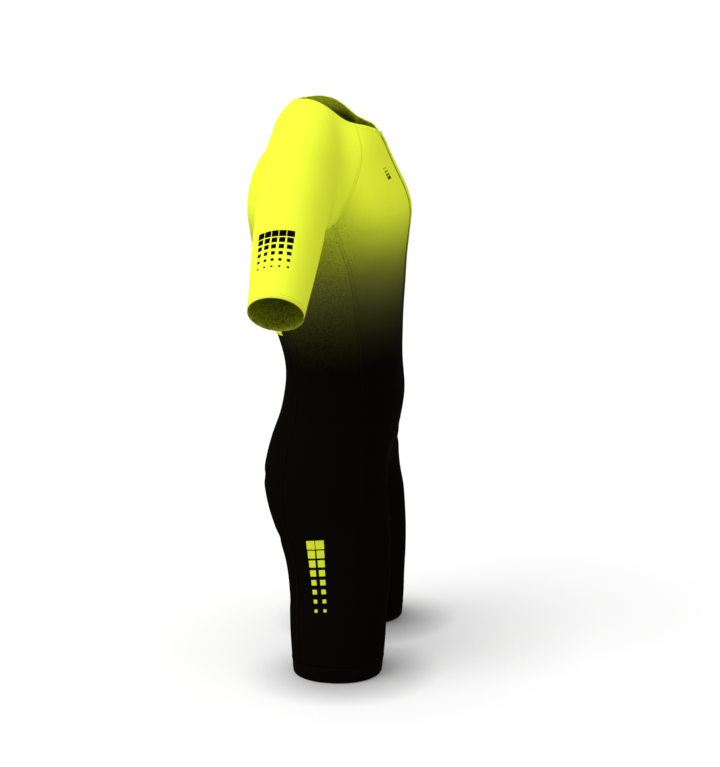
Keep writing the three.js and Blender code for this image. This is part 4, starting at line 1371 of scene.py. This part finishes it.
class SUIT_OT_seams(bpy.types.Operator):
    """Sews the panels together with flat seams, outside and inside"""

    bl_idname = "suit.seams"
    bl_label = "Flat seams"

    def execute(self, context):
        shop = Workshop.open(context.scene)
        sizes = context.scene.suit_thread
        pieces = shop.pieces
        pairs = [(f"{a}_{side}", f"{b}_{side}") for side in SIDES for a, b in SEAM_PAIRS]
        pairs += [("front_right", "front_left"), ("back_right", "back_left")]
        pairs += [(f"sleeve_{side}", f"sleeve_{side}") for side in SIDES]
        for where, kind in (("outer", OUTSIDE), ("inner", INSIDE)):
            groups = {"body": [], "sleeve": []}
            missing = []
            for a, b in pairs:
                found = seam_lines(pieces[a], pieces[b], kind)
                groups["sleeve" if "sleeve" in b else "body"] += found
                if not found:
                    missing.append(f"{a} to {b}")
            if missing:
                raise RuntimeError(f"no {where} seam was found for {missing}")
            for group, lines in groups.items():
                thread = shop.cloth.seam_look(group, where)
                verts, faces = band_mesh(lines, sizes.seam_width, sizes.seam_rise, BAND_STEP, BAND_SINK)
                band = joined_mesh(f"{group}_seam_bands_{where}", verts, faces, thread)
                bars = lockstitch_bars(lines, sizes.seam_width, sizes.seam_rise, sizes.stitch_pitch)
                verts, faces = stitches(bars, sizes.thread / 2)
                sewn = joined_mesh(f"{group}_seam_stitches_{where}", verts, faces, thread)
                for made in (band, sewn):
                    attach(made, SUIT)
        return {"FINISHED"}


class SUIT_OT_edge_stitching(bpy.types.Operator):
    """Stitches the neckline, cuffs, hems, pocket and zip edges"""

    bl_idname = "suit.edge_stitching"
    bl_label = "Edge stitching"

    def execute(self, context):
        shop = Workshop.open(context.scene)
        sizes = context.scene.suit_thread
        pieces = shop.pieces
        lines = []
        outlines = {name: rims(piece, OUTSIDE) for name, piece in pieces.items()
                    if name not in ("zip_tape", "rear_pocket")}
        for name, found in outlines.items():
            others = [rim for other, rims_there in outlines.items() if other != name for rim in rims_there]
            for rim in found:
                near = beside(rim, others, SEAM_REACH)
                if name.startswith("sleeve"):
                    own = beside(rim, found, SEAM_REACH, skip=OWN_POINTS)
                    near = [a or b for a, b in zip(near, own)]
                free = [q is None for q in near]
                for run in runs_of(rim, free):
                    if sum((q - p).length for (p, _n), (q, _m) in zip(run, run[1:])) > SHORTEST_EDGE:
                        lines.append(shifted_in(pieces[name], run, sizes.hem_inset))
        for rim in rims(pieces["rear_pocket"], OUTSIDE):
            lines.append(shifted_in(pieces["rear_pocket"], rim + rim[:1], POCKET_INSET))
        thread = shop.cloth.thread("body")
        verts, faces = stitches(running_bars(lines, sizes.stitch_pitch), sizes.thread / 2)
        made = joined_mesh("edge_stitches", verts, faces, thread)
        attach(made, SUIT)
        return {"FINISHED"}


class SUIT_OT_stage(bpy.types.Operator):
    """Sets the pale floor, the soft light and the camera"""

    bl_idname = "suit.stage"
    bl_label = "Stage"

    def execute(self, context):
        scene = context.scene
        sizes = scene.suit_stage
        half = sizes.floor_size / 2
        paper, graph, shader = new_material("pale floor", PAPER_LOOK)
        mottled = graph.mix(graph.noise(graph.place(), FLOOR_MOTTLE), *FLOOR_TONES)
        graph.feed(shader.inputs["Base Color"], mottled)
        glow = sizes.floor_glow
        for reach, darkening, lean in FLOOR_SHADOWS:
            near = graph.node("ShaderNodeAmbientOcclusion", samples=6)
            near.inputs["Distance"].default_value = reach
            leaning = graph.node("ShaderNodeCombineXYZ")
            for socket, value in zip(leaning.inputs, Vector(lean).normalized()):
                socket.default_value = value
            graph.feed(near.inputs["Normal"], leaning.outputs[0])
            glow = graph.math("MULTIPLY", graph.math("POWER", near.outputs["AO"], darkening), glow)
        seen = graph.node("ShaderNodeLightPath").outputs["Is Camera Ray"]
        lit = graph.math("ADD", sizes.bounce, graph.math("MULTIPLY", seen, 1.0 - sizes.bounce))
        graph.feed(shader.inputs["Emission Strength"], graph.math("MULTIPLY", glow, lit))
        shader.inputs["Emission Color"].default_value = (1, 1, 1, 1)
        level = HEM_LEVEL - FLOOR_GAP
        corners = [(-half, -half, level), (half, -half, level), (half, half, level), (-half, half, level)]
        floor = joined_mesh("floor", corners, [(0, 1, 2, 3)], paper, smooth=False)

        world = bpy.data.worlds.new("white surround")
        scene.world = world
        world.use_nodes = True
        sky = Graph(world.node_tree)
        ground = world.node_tree.nodes["Background"]
        ground.inputs["Color"].default_value = (1, 1, 1, 1)
        seen = sky.node("ShaderNodeLightPath").outputs["Is Camera Ray"]
        extra = sky.math("MULTIPLY", seen, SURROUND - sizes.sky_strength)
        strength = sky.math("ADD", sizes.sky_strength, extra)
        sky.feed(ground.inputs["Strength"], strength)

        for (name, spread, way), power in zip(LIGHTS, (sizes.key_strength, sizes.top_strength)):
            light = bpy.data.lights.new(name, "SUN")
            light.energy = power
            light.angle = math.radians(spread)
            lamp = bpy.data.objects.new(name, light)
            lamp.rotation_euler = Vector(way).to_track_quat("-Z", "Y").to_euler()
            scene.collection.objects.link(lamp)

        lens = bpy.data.cameras.new("camera")
        lens.lens = sizes.focal_length
        lens.sensor_width = SENSOR_WIDTH
        lens.clip_end = FARTHEST
        camera = bpy.data.objects.new("camera", lens)
        forward = Vector(CAMERA_FORWARD)
        up = Vector(CAMERA_UP)
        right = forward.cross(up)
        turned = Matrix((right, up, -forward)).transposed()
        camera.matrix_world = Matrix.Translation(CAMERA_PLACE) @ turned.to_4x4()
        scene.collection.objects.link(camera)
        scene.camera = camera
        scene.view_settings.view_transform = "Standard"
        return {"FINISHED"}


STEPS = (
    SUIT_OT_body_panels, SUIT_OT_sleeves, SUIT_OT_leg_bands, SUIT_OT_rear_pocket, SUIT_OT_zip,
    SUIT_OT_zip_hardware, SUIT_OT_seams, SUIT_OT_edge_stitching, SUIT_OT_stage,
)


class SUIT_PT_sidebar(bpy.types.Panel):
    """Lists the suit's settings and steps"""

    bl_idname = "SUIT_PT_sidebar"
    bl_label = "Triathlon suit"
    bl_space_type = "VIEW_3D"
    bl_region_type = "UI"
    bl_category = "Suit"

    def draw(self, context):
        for settings in (context.scene.suit_cloth, context.scene.suit_thread, context.scene.suit_zip,
                         context.scene.suit_stage):
            box = self.layout.box()
            for name in settings.bl_rna.properties.keys():
                if name not in ("rna_type", "name"):
                    box.prop(settings, name)
        for step in STEPS:
            self.layout.operator(step.bl_idname)


SETTINGS = {
    "suit_cloth": ClothSettings, "suit_thread": ThreadSettings, "suit_zip": ZipSettings,
    "suit_stage": StageSettings,
}


def register():
    for settings in SETTINGS.values():
        bpy.utils.register_class(settings)
    for name, settings in SETTINGS.items():
        setattr(bpy.types.Scene, name, PointerProperty(type=settings))
    for step in (*STEPS, SUIT_PT_sidebar):
        bpy.utils.register_class(step)


def unregister():
    for step in reversed((*STEPS, SUIT_PT_sidebar)):
        bpy.utils.unregister_class(step)
    for name in SETTINGS:
        delattr(bpy.types.Scene, name)
    for settings in reversed(SETTINGS.values()):
        bpy.utils.unregister_class(settings)


def main():
    register()
    for step in STEPS:
        group, name = step.bl_idname.split(".")
        getattr(getattr(bpy.ops, group), name)()


if __name__ == "__main__":
    main()
